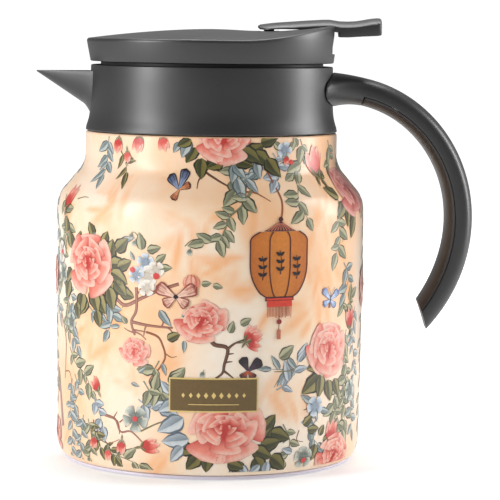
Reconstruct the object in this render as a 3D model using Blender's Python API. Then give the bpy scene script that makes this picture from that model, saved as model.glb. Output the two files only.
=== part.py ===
"""Insulated tea jug: a double-walled steel body, a black collar with a beak and an open handle,
and a push-in lid with a thumb lever, a pouring valve and a hanging tea strainer.

Dimensions are in millimetres and MM turns them into Blender's metres.  The jug stands on z = 0
with its axis on z, the beak towards -x and the handle towards +x.
"""
import math

import bmesh
import bpy
from mathutils import Matrix, Vector

MM = 0.001
GAP = 0.3            # air left between pieces that touch

# steel body
BODY_R = 60.0        # widest outer radius
FOOT_R = 59.4        # outer radius just above the rounded foot
FOOT_Z = 10.4        # height at which the rounded foot starts
FOOT_BEND = 19.0
SHELL_Z = 1.9        # lower edge of the steel shell
STEEL = 0.6          # wall thickness
NECK_R = 49.1
NECK_TOP = 127.9
STUB_R = 44.4        # narrow steel stub that the collar grips
STUB_TOP = 139.2
SHOULDER_Z = 97.8    # where the straight wall turns into the shoulder
SHOULDER_SLOPE = 40.0
BEND_LOW = 13.0
BEND_HIGH = 10.4

# steel liner
LINER_R = 55.6
LINER_FLOOR = 9.8
LINER_BEND = 10.0
LINER_SHOULDER_Z = 94.0
LINER_SLOPE = 42.0
LINER_NECK_R = 43.3
RIM_TOP = 140.1

# collar
COLLAR_Z = 128.3
COLLAR_TOP = 153.6
COLLAR_R = 47.4
COLLAR_BORE = 44.6

# beak
BEAK_TIP = 68.4
BEAK_ROOT = 46.0
BEAK_TOP = 151.0
BEAK_HALF = 11.5
BEAK_TIP_HALF = 1.6
BEAK_WALL = 1.3

# handle: a thick arc round a centre in the xz plane
GRIP_X = 45.6
GRIP_Z = 95.6
GRIP_R = 51.5
GRIP_START = 94.0    # degrees, inside the collar
GRIP_END = -45.4
GRIP_SKEW = 2.8      # degrees by which the slanted end leads and trails
GRIP_HALF_T = 5.4    # half of the radial thickness
GRIP_HALF_W = 11.0
ROOT_HALF_T = 6.7
ROOT_HALF_W = 16.3
GRIP_SPLIT = -1.6    # radial place where shell and inner strip part
STRIP_START = 74.0
SCREW_Y = 8.0
SCREW_Z = 146.5

# lid
LID_Z = 155.0
LID_LOW_R = 47.4
LID_TOP_R = 48.9
LID_RIM_Z = 163.9
LID_SIDE_TOP = 162.8
LID_DOME = 3.9
LID_WALL = 2.0
REAR_RISE = 5.9      # how far the rim climbs towards the lever
REAR_RISE_X = 12.0
CHANNEL_HALF = 12.6
CHANNEL_FLOOR = 162.2
CHANNEL_X = 26.0
SLOT_HALF = 7.8
NOTCH_Z = 158.5
BASE_PLATE_Z = 155.3
BASE_PLATE_TOP = 157.2

# lever and valve
PIN_X = 22.0
PIN_Z = 162.3
PIN_R = 1.2
ARM_Z = 159.0
ARM_TOP = 161.3
LEVER_HALF = 11.2
CROWN = 2.5
STEM_R = 1.8
SEAT_TOP = 130.1
GUIDE_END = 146.0

# plug and strainer
PLUG_R = 39.8
PLUG_TOP = 154.9
FLANGE_R = 43.4
SLEEVE_BORE = 41.0
INLET_R = 11.0
BASKET_R = 32.9
BASKET_TOP = 124.5
BASKET_FLOOR = 74.0

ROUND = 32           # facets of the large turned pieces
SMALL = 14           # facets of the small ones


# ---------------------------------------------------------------- helpers

def clear_scene():
    for thing in list(bpy.data.objects):
        bpy.data.objects.remove(thing, do_unlink=True)


def material(name, colour, roughness, metallic=0.0):
    mat = bpy.data.materials.new(name)
    mat.use_nodes = True
    shader = mat.node_tree.nodes["Principled BSDF"]
    shader.inputs["Base Color"].default_value = (*colour, 1.0)
    shader.inputs["Roughness"].default_value = roughness
    shader.inputs["Metallic"].default_value = metallic
    mat.diffuse_color = (*colour, 1.0)
    return mat


def finish_object(name, bm, mat):
    """Turn a bmesh built in millimetres into a named object in metres."""
    bmesh.ops.scale(bm, vec=(MM, MM, MM), verts=bm.verts)
    bmesh.ops.recalc_face_normals(bm, faces=bm.faces)
    mesh = bpy.data.meshes.new(name)
    bm.to_mesh(mesh)
    bm.free()
    thing = bpy.data.objects.new(name, mesh)
    bpy.context.scene.collection.objects.link(thing)
    if mat is None:
        thing.hide_render = True
        thing.display_type = "WIRE"
    else:
        mesh.materials.append(mat)
        mesh.shade_smooth()
        mesh.set_sharp_from_angle(angle=math.radians(32))
    return thing


def arc(centre_r, centre_z, radius, start, end, steps):
    """Points of an arc; angles are in degrees from the outward direction."""
    points = []
    for k in range(steps + 1):
        a = math.radians(start + (end - start) * k / steps)
        points.append((centre_r + radius * math.cos(a), centre_z + radius * math.sin(a)))
    return points


def add_turned(bm, outline, count, centre=(0.0, 0.0)):
    """Add the solid that a closed (radius, height) outline makes about the z axis."""
    rings = []
    for r, z in outline:
        if r < 1e-6:
            rings.append([bm.verts.new((centre[0], centre[1], z))])
            continue
        ring = []
        for k in range(count):
            a = 2 * math.pi * k / count
            ring.append(bm.verts.new((centre[0] + r * math.cos(a), centre[1] + r * math.sin(a), z)))
        rings.append(ring)
    for i, ring in enumerate(rings):
        after = rings[(i + 1) % len(rings)]
        if len(ring) == 1 and len(after) == 1:
            continue
        for k in range(count):
            n = (k + 1) % count
            if len(ring) == 1:
                bm.faces.new((ring[0], after[k], after[n]))
            elif len(after) == 1:
                bm.faces.new((ring[k], ring[n], after[0]))
            else:
                bm.faces.new((ring[k], ring[n], after[n], after[k]))


def add_sideways(bm, outline, count, places=(-1, 1)):
    """Add a turned shape at the handle screws; the outline's heights lie along +x."""
    lie_down = Matrix.Rotation(math.radians(90), 4, "Y")
    for y in [side * SCREW_Y for side in places]:
        start = len(bm.verts)
        add_turned(bm, outline, count)
        bm.verts.ensure_lookup_table()
        place = Matrix.Translation((0.0, y, SCREW_Z)) @ lie_down
        for v in bm.verts[start:]:
            v.co = place @ v.co


def turned(name, outline, mat, count=ROUND):
    bm = bmesh.new()
    add_turned(bm, outline, count)
    return finish_object(name, bm, mat)


def add_loft(bm, rings):
    """Add a closed solid through rings of points, each end closed by a fan."""
    loops = [[bm.verts.new(p) for p in ring] for ring in rings]
    count = len(loops[0])
    for i in range(len(loops) - 1):
        for k in range(count):
            n = (k + 1) % count
            bm.faces.new((loops[i][k], loops[i][n], loops[i + 1][n], loops[i + 1][k]))
    for loop in (loops[0], loops[-1]):
        middle = sum((v.co for v in loop), Vector()) / count
        hub = bm.verts.new(middle)
        for k in range(count):
            bm.faces.new((loop[k], loop[(k + 1) % count], hub))


def lofted(name, rings, mat):
    bm = bmesh.new()
    add_loft(bm, rings)
    return finish_object(name, bm, mat)


def add_box(bm, x, y, z, turn=0.0):
    """Add a box from three (low, high) pairs, turned about the z axis by an angle in degrees."""
    a = math.radians(turn)
    corners = []
    for zc in z:
        for xc, yc in ((x[0], y[0]), (x[1], y[0]), (x[1], y[1]), (x[0], y[1])):
            corners.append(bm.verts.new((xc * math.cos(a) - yc * math.sin(a),
                                         xc * math.sin(a) + yc * math.cos(a), zc)))
    for face in ((0, 1, 2, 3), (4, 5, 6, 7), (0, 1, 5, 4), (1, 2, 6, 5), (2, 3, 7, 6), (3, 0, 4, 7)):
        bm.faces.new([corners[k] for k in face])


def add_prism(bm, outline, half):
    """Add a solid with an (x, z) outline, reaching half to each side in y."""
    sides = [[bm.verts.new((x, y, z)) for x, z in outline] for y in (-half, half)]
    for side in sides:
        bm.faces.new(side)
    for k in range(len(outline)):
        n = (k + 1) % len(outline)
        bm.faces.new((sides[0][k], sides[0][n], sides[1][n], sides[1][k]))


def add_rod(bm, start, end, radius, count=SMALL):
    """Add a round rod between two points."""
    axis = (Vector(end) - Vector(start)).normalized()
    side = axis.orthogonal().normalized()
    up = axis.cross(side)
    rings = []
    for centre in (Vector(start), Vector(end)):
        ring = []
        for k in range(count):
            a = 2 * math.pi * k / count
            ring.append(centre + radius * (math.cos(a) * side + math.sin(a) * up))
        rings.append(ring)
    add_loft(bm, rings)


def cutter(name, fill):
    """Make a hidden helper solid; fill adds its shape to a bmesh."""
    bm = bmesh.new()
    fill(bm)
    return finish_object(name, bm, None)


def combine(thing, other, operation):
    step = thing.modifiers.new(operation.lower() + "_" + other.name, "BOOLEAN")
    step.operation = operation
    step.solver = "EXACT"
    step.object = other


def cut(thing, other):
    combine(thing, other, "DIFFERENCE")


def fuse(thing, other):
    combine(thing, other, "UNION")


# ---------------------------------------------------------------- steel body

def bend_height(drop, slope, bends):
    """Height that a shoulder of two bends and a straight slope takes for a change of radius."""
    a = math.radians(slope)
    straight = (drop - bends * (1 - math.cos(a))) / math.sin(a)
    return bends * math.sin(a) + straight * math.cos(a)


def shoulder(radius, neck, z, slope, inset, steps=3):
    """Points from the wall over the shoulder to the neck, moved inwards by inset."""
    top = z + bend_height(radius - neck, slope, BEND_LOW + BEND_HIGH)
    low = arc(radius - BEND_LOW, z, BEND_LOW - inset, 0, slope, steps)
    high = arc(neck + BEND_HIGH, top, BEND_HIGH + inset, 180 + slope, 180, steps)
    return low + high


def make_body(mats):
    foot_angle = -math.degrees(math.asin((FOOT_Z - SHELL_Z - 0.8) / FOOT_BEND))
    foot_centre = FOOT_R - FOOT_BEND
    outside = [(55.0, SHELL_Z), (57.0, SHELL_Z)]
    outside += arc(foot_centre, FOOT_Z, FOOT_BEND, foot_angle, 0, 2)
    outside += shoulder(BODY_R, NECK_R, SHOULDER_Z, SHOULDER_SLOPE, 0.0)
    outside += [(NECK_R, NECK_TOP - 0.5), (NECK_R - 0.5, NECK_TOP)]
    outside += [(STUB_R, NECK_TOP), (STUB_R, STUB_TOP)]
    inside = [(55.0, SHELL_Z + STEEL), (56.4, SHELL_Z + STEEL)]
    inside += arc(foot_centre, FOOT_Z, FOOT_BEND - STEEL, foot_angle, 0, 2)
    inside += shoulder(BODY_R, NECK_R, SHOULDER_Z, SHOULDER_SLOPE, STEEL)
    inside += [(NECK_R - STEEL, NECK_TOP - STEEL), (STUB_R - STEEL, NECK_TOP - STEEL)]
    inside += [(STUB_R - STEEL, STUB_TOP)]
    turned("outer_shell", outside + inside[::-1], mats["print"])

    corner = LINER_R - LINER_BEND
    outside = [(0.0, LINER_FLOOR)]
    outside += arc(corner, LINER_FLOOR + LINER_BEND, LINER_BEND, -90, 0, 3)
    outside += shoulder(LINER_R, LINER_NECK_R, LINER_SHOULDER_Z, LINER_SLOPE, 0.0)
    outside += [(LINER_NECK_R, RIM_TOP - STEEL), (STUB_R, RIM_TOP - STEEL), (STUB_R, RIM_TOP)]
    inside = [(0.0, LINER_FLOOR + STEEL)]
    inside += arc(corner, LINER_FLOOR + LINER_BEND, LINER_BEND - STEEL, -90, 0, 3)
    inside += shoulder(LINER_R, LINER_NECK_R, LINER_SHOULDER_Z, LINER_SLOPE, STEEL)
    inside += [(LINER_NECK_R - STEEL, RIM_TOP)]
    turned("inner_liner", outside + inside[::-1], mats["steel"])

    turned("vacuum_base", [(0, 5.2), (54.0, 5.2), (55.4, 4.5), (55.7, 3.1), (56.3, 3.1),
                           (56.1, 4.9), (54.4, 5.8), (0, 5.8)], mats["steel"])
    turned("getter", [(0, 6.1), (5.0, 6.1), (5.0, 7.3), (4.2, 7.8), (0, 7.8)], mats["getter"], SMALL)
    turned("base_cover", [(0, 1.7), (52.3, 1.7), (52.3, 0.4), (55.8, 0.4), (56.4, 1.0),
                          (56.4, 1.6), (54.6, 1.6), (54.6, 2.8), (0, 2.8)], mats["pale"])
    turned("base_pad", [(0, 0), (51.2, 0), (52.0, 0.6), (52.0, 1.4), (0, 1.4)], mats["rubber"])


# ---------------------------------------------------------------- collar and beak

def beak_ring(reach, half, depth, top, steps=5):
    """One U-shaped section of the beak, reach millimetres out along -x."""
    ring = []
    for k in range(-steps, steps + 1):
        t = math.pi / 2 * (1 - abs(k) / steps)
        y = half * math.cos(t) ** 0.9 * (1 if k > 0 else -1)
        ring.append(Vector((-reach, 0.0 if k == 0 else y, top - depth * math.sin(t) ** 0.9)))
    return ring


def beak_depth(reach):
    """Depth of the keel below the top edge: a straight slope with a fillet at the collar."""
    slope = 0.66 * (BEAK_TIP - reach) + 0.5
    fillet = min(max(0.0, 50.0 - reach), 4.0)
    return slope + 0.45 * fillet ** 1.6


def beak_half(reach):
    out = (BEAK_TIP - reach) / (BEAK_TIP - BEAK_ROOT)
    return BEAK_TIP_HALF + (BEAK_HALF - BEAK_TIP_HALF) * out


def make_collar(mats):
    collar = turned("collar", [
        (44.8, COLLAR_Z), (48.6, COLLAR_Z), (49.1, 128.8), (48.8, 130.2), (48.1, 132.4),
        (47.7, 134.4), (COLLAR_R, 138.0), (COLLAR_R - 0.1, 146.0), (COLLAR_R - 0.2, 153.1),
        (46.7, COLLAR_TOP), (45.1, COLLAR_TOP), (COLLAR_BORE, 153.1), (COLLAR_BORE, 144.4),
        (43.7, 144.4), (43.7, 143.6), (44.8, 143.5)], mats["black"])
    stations = (45.6, 47.2, 48.4, 49.6, 51.2, 54.0, 58.0, 62.0, 65.5, 67.6, BEAK_TIP)
    rings = [beak_ring(s, beak_half(s), beak_depth(s), BEAK_TOP) for s in stations]
    beak = lofted("beak_shape", rings, None)
    fuse(collar, beak)
    inner = []
    for s in (42.0, 45.6, 48.4, 51.2, 54.0, 58.0, 62.0, 65.5, BEAK_TIP + 1.0):
        floor = min(BEAK_TOP - 144.8, max(0.7, beak_depth(s) - 1.6))
        ring = beak_ring(s, max(0.5, beak_half(s) - BEAK_WALL), floor, BEAK_TOP)
        lift = 1.0 if s > 48.0 else -1.0
        inner.append([p + Vector((0, 0, lift)) if abs(p.z - BEAK_TOP) < 1e-6 else p for p in ring])
    cut(collar, lofted("beak_channel", inner, None))

    def screw_holes(bm):
        add_sideways(bm, [(0, 40.0), (2.8, 40.0), (2.8, 45.5), (1.4, 45.5), (1.4, 49.0), (0, 49.0)], 12)

    cut(collar, cutter("collar_holes", screw_holes))
    turned("collar_sleeve", [(SLEEVE_BORE, 130.5), (42.4, 130.5), (42.4, 141.9), (44.5, 141.9),
                             (44.5, 143.2), (41.4, 143.2), (SLEEVE_BORE, 142.8)], mats["sleeve"])
    turned("neck_gasket", [(42.8, 140.4), (44.3, 140.4), (44.3, 141.6), (42.8, 141.6)], mats["silicone"])


# ---------------------------------------------------------------- handle

def grip_radius(angle):
    t = angle / 90.0
    return GRIP_R - 1.3 * t + 4.4 * t ** 2 - 5.6 * t ** 3


def grip_point(angle, n, w):
    """Place a section point: angle along the arc, n outwards from the centre line, w across."""
    late = min(1.0, max(0.0, (-20.0 - angle) / (-20.0 - GRIP_END)))
    a = math.radians(angle - GRIP_SKEW * late * n / GRIP_HALF_T)
    r = grip_radius(angle) + n
    return Vector((GRIP_X + r * math.cos(a), w, GRIP_Z + r * math.sin(a)))


def grip_angles(start, end, count):
    return [start + (end - start) * k / (count - 1) for k in range(count)]


def grip_section(angle, count=16):
    """Rounded section; it swells to a broad ellipse where it meets the collar."""
    flare = min(1.2, max(0.0, (angle - 72.0) / 16.0)) ** 2
    half_t = GRIP_HALF_T + (ROOT_HALF_T - GRIP_HALF_T) * flare
    half_w = GRIP_HALF_W + (ROOT_HALF_W - GRIP_HALF_W) * flare
    power = 2.0 / (2.9 - 0.8 * min(1.0, flare))
    ring = []
    for k in range(count):
        a = 2 * math.pi * (k + 0.5) / count
        n = half_t * abs(math.cos(a)) ** power * math.copysign(1, math.cos(a))
        w = half_w * abs(math.sin(a)) ** power * math.copysign(1, math.sin(a))
        ring.append(grip_point(angle, n, w))
    return ring


def band(angle, points):
    return [grip_point(angle, n, w) for n, w in points]


def make_handle(mats):
    angles = grip_angles(GRIP_START, 72.0, 7) + grip_angles(66.0, GRIP_END, 18)
    shell = lofted("handle_shell", [grip_section(a) for a in angles], mats["black"])
    inner_side = [(-9.0, -14.0), (GRIP_SPLIT, -14.0), (GRIP_SPLIT, 14.0), (-9.0, 14.0)]
    hollow = [(GRIP_SPLIT - 0.5, -7.4), (2.8, -6.6), (2.8, 6.6), (GRIP_SPLIT - 0.5, 7.4)]
    long_run = grip_angles(STRIP_START, GRIP_END - 3.0, 20)
    cut(shell, lofted("strip_space", [band(a, inner_side) for a in long_run], None))
    short_run = grip_angles(STRIP_START - 4.0, GRIP_END + 8.0, 16)
    cut(shell, lofted("grip_hollow", [band(a, hollow) for a in short_run], None))
    cut(shell, cutter("collar_space", lambda bm: add_turned(
        bm, [(0, 120), (COLLAR_R + GAP + 0.1, 120), (COLLAR_R + GAP + 0.1, 160), (0, 160)], ROUND)))

    def pilot_holes(bm):
        add_sideways(bm, [(0, 44.0), (1.3, 44.0), (1.3, 54.5), (0, 54.5)], 12)

    cut(shell, cutter("handle_pilots", pilot_holes))

    low = GRIP_SPLIT - GAP
    strip = [(low, -10.2), (-3.6, -9.6), (-4.9, -7.6), (-5.3, -4.0), (-5.3, 4.0),
             (-4.9, 7.6), (-3.6, 9.6), (low, 10.2)]
    strip_run = grip_angles(STRIP_START - 0.4, GRIP_END, 20)
    lofted("handle_strip", [band(a, strip) for a in strip_run], mats["black"])

    screw = [(0, 44.2), (2.4, 44.2), (2.4, 45.2), (1.0, 45.2), (1.0, 53.4), (0, 53.8)]
    for name, side in (("handle_screw_near", -1), ("handle_screw_far", 1)):
        bm = bmesh.new()
        add_sideways(bm, screw, 10, (side,))
        finish_object(name, bm, mats["steel"])


# ---------------------------------------------------------------- lid

def dome_height(r):
    return LID_RIM_Z + LID_DOME * (1 - (r / 48.0) ** 1.7)


def raise_rear(thing, above):
    """Lift the top of a turned lid shape so that its rim climbs towards +x."""
    span = 47.0 - REAR_RISE_X
    for v in thing.data.vertices:
        x = v.co.x / MM
        if v.co.z / MM > above and x > REAR_RISE_X:
            v.co.z += MM * REAR_RISE * ((x - REAR_RISE_X) / span) ** 1.8


def screw_places():
    for k in range(3):
        a = math.radians(60 + 120 * k)
        yield 37.0 * math.cos(a), 37.0 * math.sin(a)


def make_lid(mats):
    radii = (44.0, 39.0, 33.0, 26.0, 18.0, 9.0, 0.0)
    outside = [(0.0, LID_Z), (LID_LOW_R - 0.4, LID_Z), (LID_LOW_R, LID_Z + 0.4)]
    outside += [(LID_TOP_R, LID_SIDE_TOP), (LID_TOP_R - 0.2, 163.5), (LID_TOP_R - 0.9, LID_RIM_Z)]
    outside += [(r, dome_height(r)) for r in radii]
    cover = turned("lid_cover", outside, mats["black"])
    raise_rear(cover, LID_SIDE_TOP - 0.5)
    wall_slope = (LID_TOP_R - LID_LOW_R) / (LID_SIDE_TOP - LID_Z)
    inside = [(0.0, LID_Z - 1.0), (LID_LOW_R - LID_WALL, LID_Z - 1.0)]
    inside += [(LID_LOW_R - LID_WALL + wall_slope * 6.4, 161.4)]
    inside += [(r, dome_height(r) - LID_WALL) for r in radii]
    cavity = turned("lid_cavity", inside, None)
    raise_rear(cavity, 161.0)

    def trough_block(bm):
        add_prism(bm, [(CHANNEL_X - 1.0, 190), (CHANNEL_X - 1.0, 160.4), (44.8, 160.4),
                       (44.8, 157.6), (60, 157.6), (60, 190)], CHANNEL_HALF + 1.8)

    def bosses(bm):
        for x, y in screw_places():
            add_rod(bm, (x, y, 157.6), (x, y, 180), 3.4, 12)

    cut(cavity, cutter("trough_block", trough_block))
    cut(cavity, cutter("boss_block", bosses))
    cut(cover, cavity)

    def channel(bm):
        add_prism(bm, [(CHANNEL_X, 191), (CHANNEL_X, CHANNEL_FLOOR), (46.6, CHANNEL_FLOOR),
                       (46.6, NOTCH_Z), (61, NOTCH_Z), (61, 191)], CHANNEL_HALF)

    def lever_slot(bm):
        add_box(bm, (18.6, CHANNEL_X + 0.4), (-SLOT_HALF, SLOT_HALF), (162.9, 192))

    def boss_holes(bm):
        for x, y in screw_places():
            add_rod(bm, (x, y, 157.0), (x, y, 163.4), 1.25, 12)

    cut(cover, cutter("channel_space", channel))
    cut(cover, cutter("slot_space", lever_slot))
    cut(cover, cutter("boss_holes", boss_holes))

    plate = turned("lid_base", [(3.4, BASE_PLATE_Z), (45.0, BASE_PLATE_Z), (45.0, BASE_PLATE_TOP),
                                (3.4, BASE_PLATE_TOP)], mats["dark"])

    def posts(bm):
        for low, high in ((-11.8, -9.4), (9.4, 11.8)):
            add_box(bm, (PIN_X - 2.2, PIN_X + 2.2), (low, high), (BASE_PLATE_Z + 0.5, 164.4))

    def plate_holes(bm):
        add_rod(bm, (PIN_X, -20, PIN_Z), (PIN_X, 20, PIN_Z), PIN_R + GAP, 12)

    def plate_screw_holes(bm):
        for x, y in screw_places():
            add_turned(bm, [(0, 155.0), (2.8, 155.0), (2.8, 156.7), (1.4, 156.7), (1.4, 158.0),
                            (0, 158.0)], 12, (x, y))

    fuse(plate, cutter("pin_posts", posts))
    cut(plate, cutter("pin_hole", plate_holes))
    cut(plate, cutter("plate_holes", plate_screw_holes))

    foam = turned("lid_foam", [(28.0, 157.5), (42.5, 157.5), (42.5, 159.8), (28.0, 159.8)], mats["foam"])

    def foam_holes(bm):
        for x, y in screw_places():
            add_rod(bm, (x, y, 156), (x, y, 161), 4.2, 12)

    cut(foam, cutter("foam_holes", foam_holes))

    screw = [(0, 155.5), (2.4, 155.5), (2.4, 156.4), (0.95, 156.4), (0.95, 162.4), (0, 163.1)]
    for number, place in enumerate(screw_places(), 1):
        bm = bmesh.new()
        add_turned(bm, screw, 10, place)
        finish_object("lid_screw_%d" % number, bm, mats["steel"])

    bm = bmesh.new()
    add_rod(bm, (PIN_X, -12.4, PIN_Z), (PIN_X, 12.4, PIN_Z), PIN_R, 14)
    finish_object("lever_pin", bm, mats["steel"])
    turned("stem_bush", [(2.15, 155.4), (3.1, 155.4), (3.1, 157.5), (4.6, 157.5), (4.6, 158.4),
                         (2.15, 158.4)], mats["silicone"], SMALL)


def make_plug(mats):
    plug = turned("plug_body", [
        (2.2, GUIDE_END), (4.6, GUIDE_END), (4.6, 151.0), (38.2, 151.0), (38.2, 130.4),
        (PLUG_R, 130.4), (PLUG_R, 133.8), (39.0, 133.8), (39.0, 137.6), (PLUG_R, 137.6),
        (PLUG_R, 150.6), (FLANGE_R, 150.6), (FLANGE_R, 151.6), (42.0, 151.6), (42.0, 153.4),
        (FLANGE_R, 153.4), (FLANGE_R, PLUG_TOP), (2.2, PLUG_TOP)], mats["dark"])

    def windows(bm):
        for k in range(6):
            add_box(bm, (36, 42), (-7.0, 7.0), (144.2, 150.2), 60.0 * k)

    cut(plug, cutter("plug_windows", windows))
    turned("plug_bottom", [(INLET_R, 128.4), (36.2, 128.4), (36.2, 124.6), (37.4, 124.6),
                           (37.4, 128.4), (39.7, 128.4), (39.7, SEAT_TOP), (INLET_R, SEAT_TOP)],
           mats["dark"])
    turned("lower_seal", [(39.3, 134.1), (PLUG_R + 0.2, 134.1), (40.7, 135.0), (40.7, 136.4),
                          (PLUG_R + 0.2, 137.3), (39.3, 137.3)], mats["silicone"])
    turned("upper_seal", [(42.3, 151.9), (43.7, 151.9), (44.3, 152.3), (44.3, 152.8),
                          (43.7, 153.1), (42.3, 153.1)], mats["silicone"])


# ---------------------------------------------------------------- lever and valve

def lever_ring(x, low, top, half, steps=4):
    """Crowned section of the lever: flat underneath, upright sides, arched top."""
    edge = max(low + 0.5, top - CROWN)
    ring = [Vector((x, half, low)), Vector((x, -half, low))]
    for k in range(-steps, steps + 1):
        s = k / steps
        ring.append(Vector((x, half * s, edge + (top - edge) * (1 - s * s))))
    return ring


def make_lever(mats):
    stations = ((17.7, 168.6, 169.3, 4.4), (18.6, 167.9, 169.8, 7.0), (20.5, 167.7, 170.1, 9.0),
                (23.5, 167.9, 170.5, 10.5), (27.0, 168.1, 170.8, LEVER_HALF),
                (34.5, 168.0, 171.4, LEVER_HALF), (45.4, 167.4, 172.0, LEVER_HALF),
                (48.3, 167.1, 171.6, LEVER_HALF), (49.6, 165.1, 171.5, LEVER_HALF),
                (52.6, 165.2, 171.4, LEVER_HALF), (58.2, 165.6, 171.9, LEVER_HALF),
                (62.1, 165.8, 172.6, 11.0), (65.0, 166.0, 172.8, 10.4), (65.6, 166.6, 172.3, 9.8))
    lever = lofted("lever", [lever_ring(*s) for s in stations], mats["black"])

    def ears(bm):
        for low, high in ((-7.2, -4.6), (4.6, 7.2)):
            add_box(bm, (PIN_X - 1.9, PIN_X + 2.0), (low, high), (ARM_Z, 168.3))

    def arm(bm):
        add_box(bm, (-2.4, PIN_X + 1.5), (-5.6, 5.6), (ARM_Z + 0.2, ARM_TOP))

    def arm_space(bm):
        add_box(bm, (-6.0, 3.0), (-2.5, 2.5), (150, 166))

    def pin_hole(bm):
        add_rod(bm, (PIN_X, -20, PIN_Z), (PIN_X, 20, PIN_Z), PIN_R + GAP, 12)

    fuse(lever, cutter("lever_ears", ears))
    fuse(lever, cutter("lever_arm", arm))
    cut(lever, cutter("fork_space", arm_space))
    cut(lever, cutter("lever_pin_hole", pin_hole))
    return lever


def make_valve(mats):
    stem = turned("valve_stem", [
        (0, 128.3), (STEM_R, 128.3), (STEM_R, 129.0), (1.2, 129.0), (1.2, 130.2), (STEM_R, 130.2),
        (STEM_R, 134.7), (3.2, 134.7), (3.2, 135.8), (STEM_R, 135.8), (STEM_R, 161.6),
        (4.2, 161.6), (4.2, 162.5), (3.8, 162.9), (0, 162.9)], mats["steel"], SMALL)
    disc = turned("valve_disc", [
        (2.1, 130.4), (13.4, 130.4), (13.8, 130.8), (13.8, 131.8), (13.2, 132.3), (6.2, 133.0),
        (5.8, 134.4), (2.1, 134.4)], mats["silicone"], 20)
    clip = turned("stem_clip", [(1.5, 129.3), (3.6, 129.3), (3.6, 129.9), (1.5, 129.9)],
                  mats["steel"], SMALL)
    return stem, disc, clip


def make_spring(mats):
    """Valve spring: a wire helix between the stem's collar and the end of the stem guide."""
    turns = 5.0
    wire = 0.4
    coil = 3.4
    low = 136.1 + wire
    high = GUIDE_END - GAP - wire
    per_turn = 10
    rings = []
    for k in range(int(turns * per_turn) + 1):
        a = 2 * math.pi * k / per_turn
        z = low + (high - low) * k / (turns * per_turn)
        outward = Vector((math.cos(a), math.sin(a), 0))
        centre = outward * coil + Vector((0, 0, z))
        ring = []
        for j in range(5):
            b = 2 * math.pi * j / 5
            ring.append(centre + wire * (math.cos(b) * outward + math.sin(b) * Vector((0, 0, 1))))
        rings.append(ring)
    lofted("valve_spring", rings, mats["steel"])


# ---------------------------------------------------------------- strainer

def make_strainer(mats):
    rim = turned("strainer_rim", [(33.9, 121.5), (40.2, 121.5), (40.2, 128.0), (37.8, 128.0),
                                  (37.8, 124.2), (33.9, 124.2)], mats["dark"])
    count = 20
    rows = 7
    wall_top = 121.0
    wall_low = BASKET_FLOOR + 5.0
    profile = [(35.7, BASKET_TOP + 0.3), (BASKET_R, BASKET_TOP + 0.3)]
    profile += [(BASKET_R, wall_top - (wall_top - wall_low) * k / rows) for k in range(rows + 1)]
    profile += arc(BASKET_R - 5.0, wall_low, 5.0, -30, -90, 2)
    profile += [(r, BASKET_FLOOR) for r in (20.0, 12.0, 5.0)]
    bm = bmesh.new()
    rings = []
    for r, z in profile:
        ring = []
        for k in range(count):
            a = 2 * math.pi * k / count
            ring.append(bm.verts.new((r * math.cos(a), r * math.sin(a), z)))
        rings.append(ring)
    for i in range(len(rings) - 1):
        in_wall = 2 <= i < 2 + rows
        for k in range(count):
            if in_wall and i % 2 == 1 and k % 2 == 0:
                continue
            if i == len(rings) - 3 and k % 4 == 0:
                continue
            n = (k + 1) % count
            bm.faces.new((rings[i][k], rings[i][n], rings[i + 1][n], rings[i + 1][k]))
    bm.faces.new(rings[-1])
    basket = finish_object("strainer_basket", bm, mats["steel"])
    wall = basket.modifiers.new("wall", "SOLIDIFY")
    wall.thickness = 0.6 * MM
    wall.offset = 0.0
    return rim, basket


# ---------------------------------------------------------------- joint frames

def hang_on(name, place, things):
    """Put an empty on a joint axis and parent the moving pieces to it, keeping them in place."""
    frame = bpy.data.objects.new(name, None)
    frame.location = Vector(place) * MM
    bpy.context.scene.collection.objects.link(frame)
    for thing in things:
        thing.parent = frame
        thing.matrix_parent_inverse.translation = -frame.location
    return frame


def main():
    clear_scene()
    mats = {
        "print": material("printed_enamel", (0.93, 0.76, 0.58), 0.3),
        "steel": material("stainless_steel", (0.72, 0.72, 0.73), 0.32, 1.0),
        "getter": material("getter_metal", (0.35, 0.35, 0.36), 0.6, 1.0),
        "pale": material("pale_plastic", (0.82, 0.8, 0.86), 0.5),
        "rubber": material("grey_rubber", (0.45, 0.45, 0.47), 0.8),
        "black": material("black_plastic", (0.03, 0.03, 0.032), 0.45),
        "dark": material("dark_plastic", (0.06, 0.06, 0.065), 0.5),
        "sleeve": material("sleeve_plastic", (0.12, 0.12, 0.13), 0.5),
        "silicone": material("silicone", (0.75, 0.76, 0.76), 0.55),
        "foam": material("white_foam", (0.88, 0.88, 0.86), 0.9),
    }
    make_body(mats)
    make_collar(mats)
    make_handle(mats)
    make_lid(mats)
    make_plug(mats)
    make_spring(mats)
    lever = make_lever(mats)
    stem, disc, clip = make_valve(mats)
    rim, basket = make_strainer(mats)
    hang_on("lever_axis", (PIN_X, 0.0, PIN_Z), [lever])
    hang_on("valve_axis", (0.0, 0.0, SEAT_TOP), [stem, disc, clip])
    hang_on("strainer_axis", (0.0, 0.0, BASKET_TOP), [rim, basket])


main()
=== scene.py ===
# %% [markdown]
# # An insulated tea jug with a printed body
# The jug is a double-walled steel pot with a black plastic collar, beak, handle and lid.  A packed
# solid model gives every part its true place.  Here each part gets its fine surface and its finish.
# The first cell loads that model.  Nothing made here may outgrow it.

# %% Load the solid model
import math
import random

import bmesh
import bpy
from mathutils import Matrix, Vector


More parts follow.
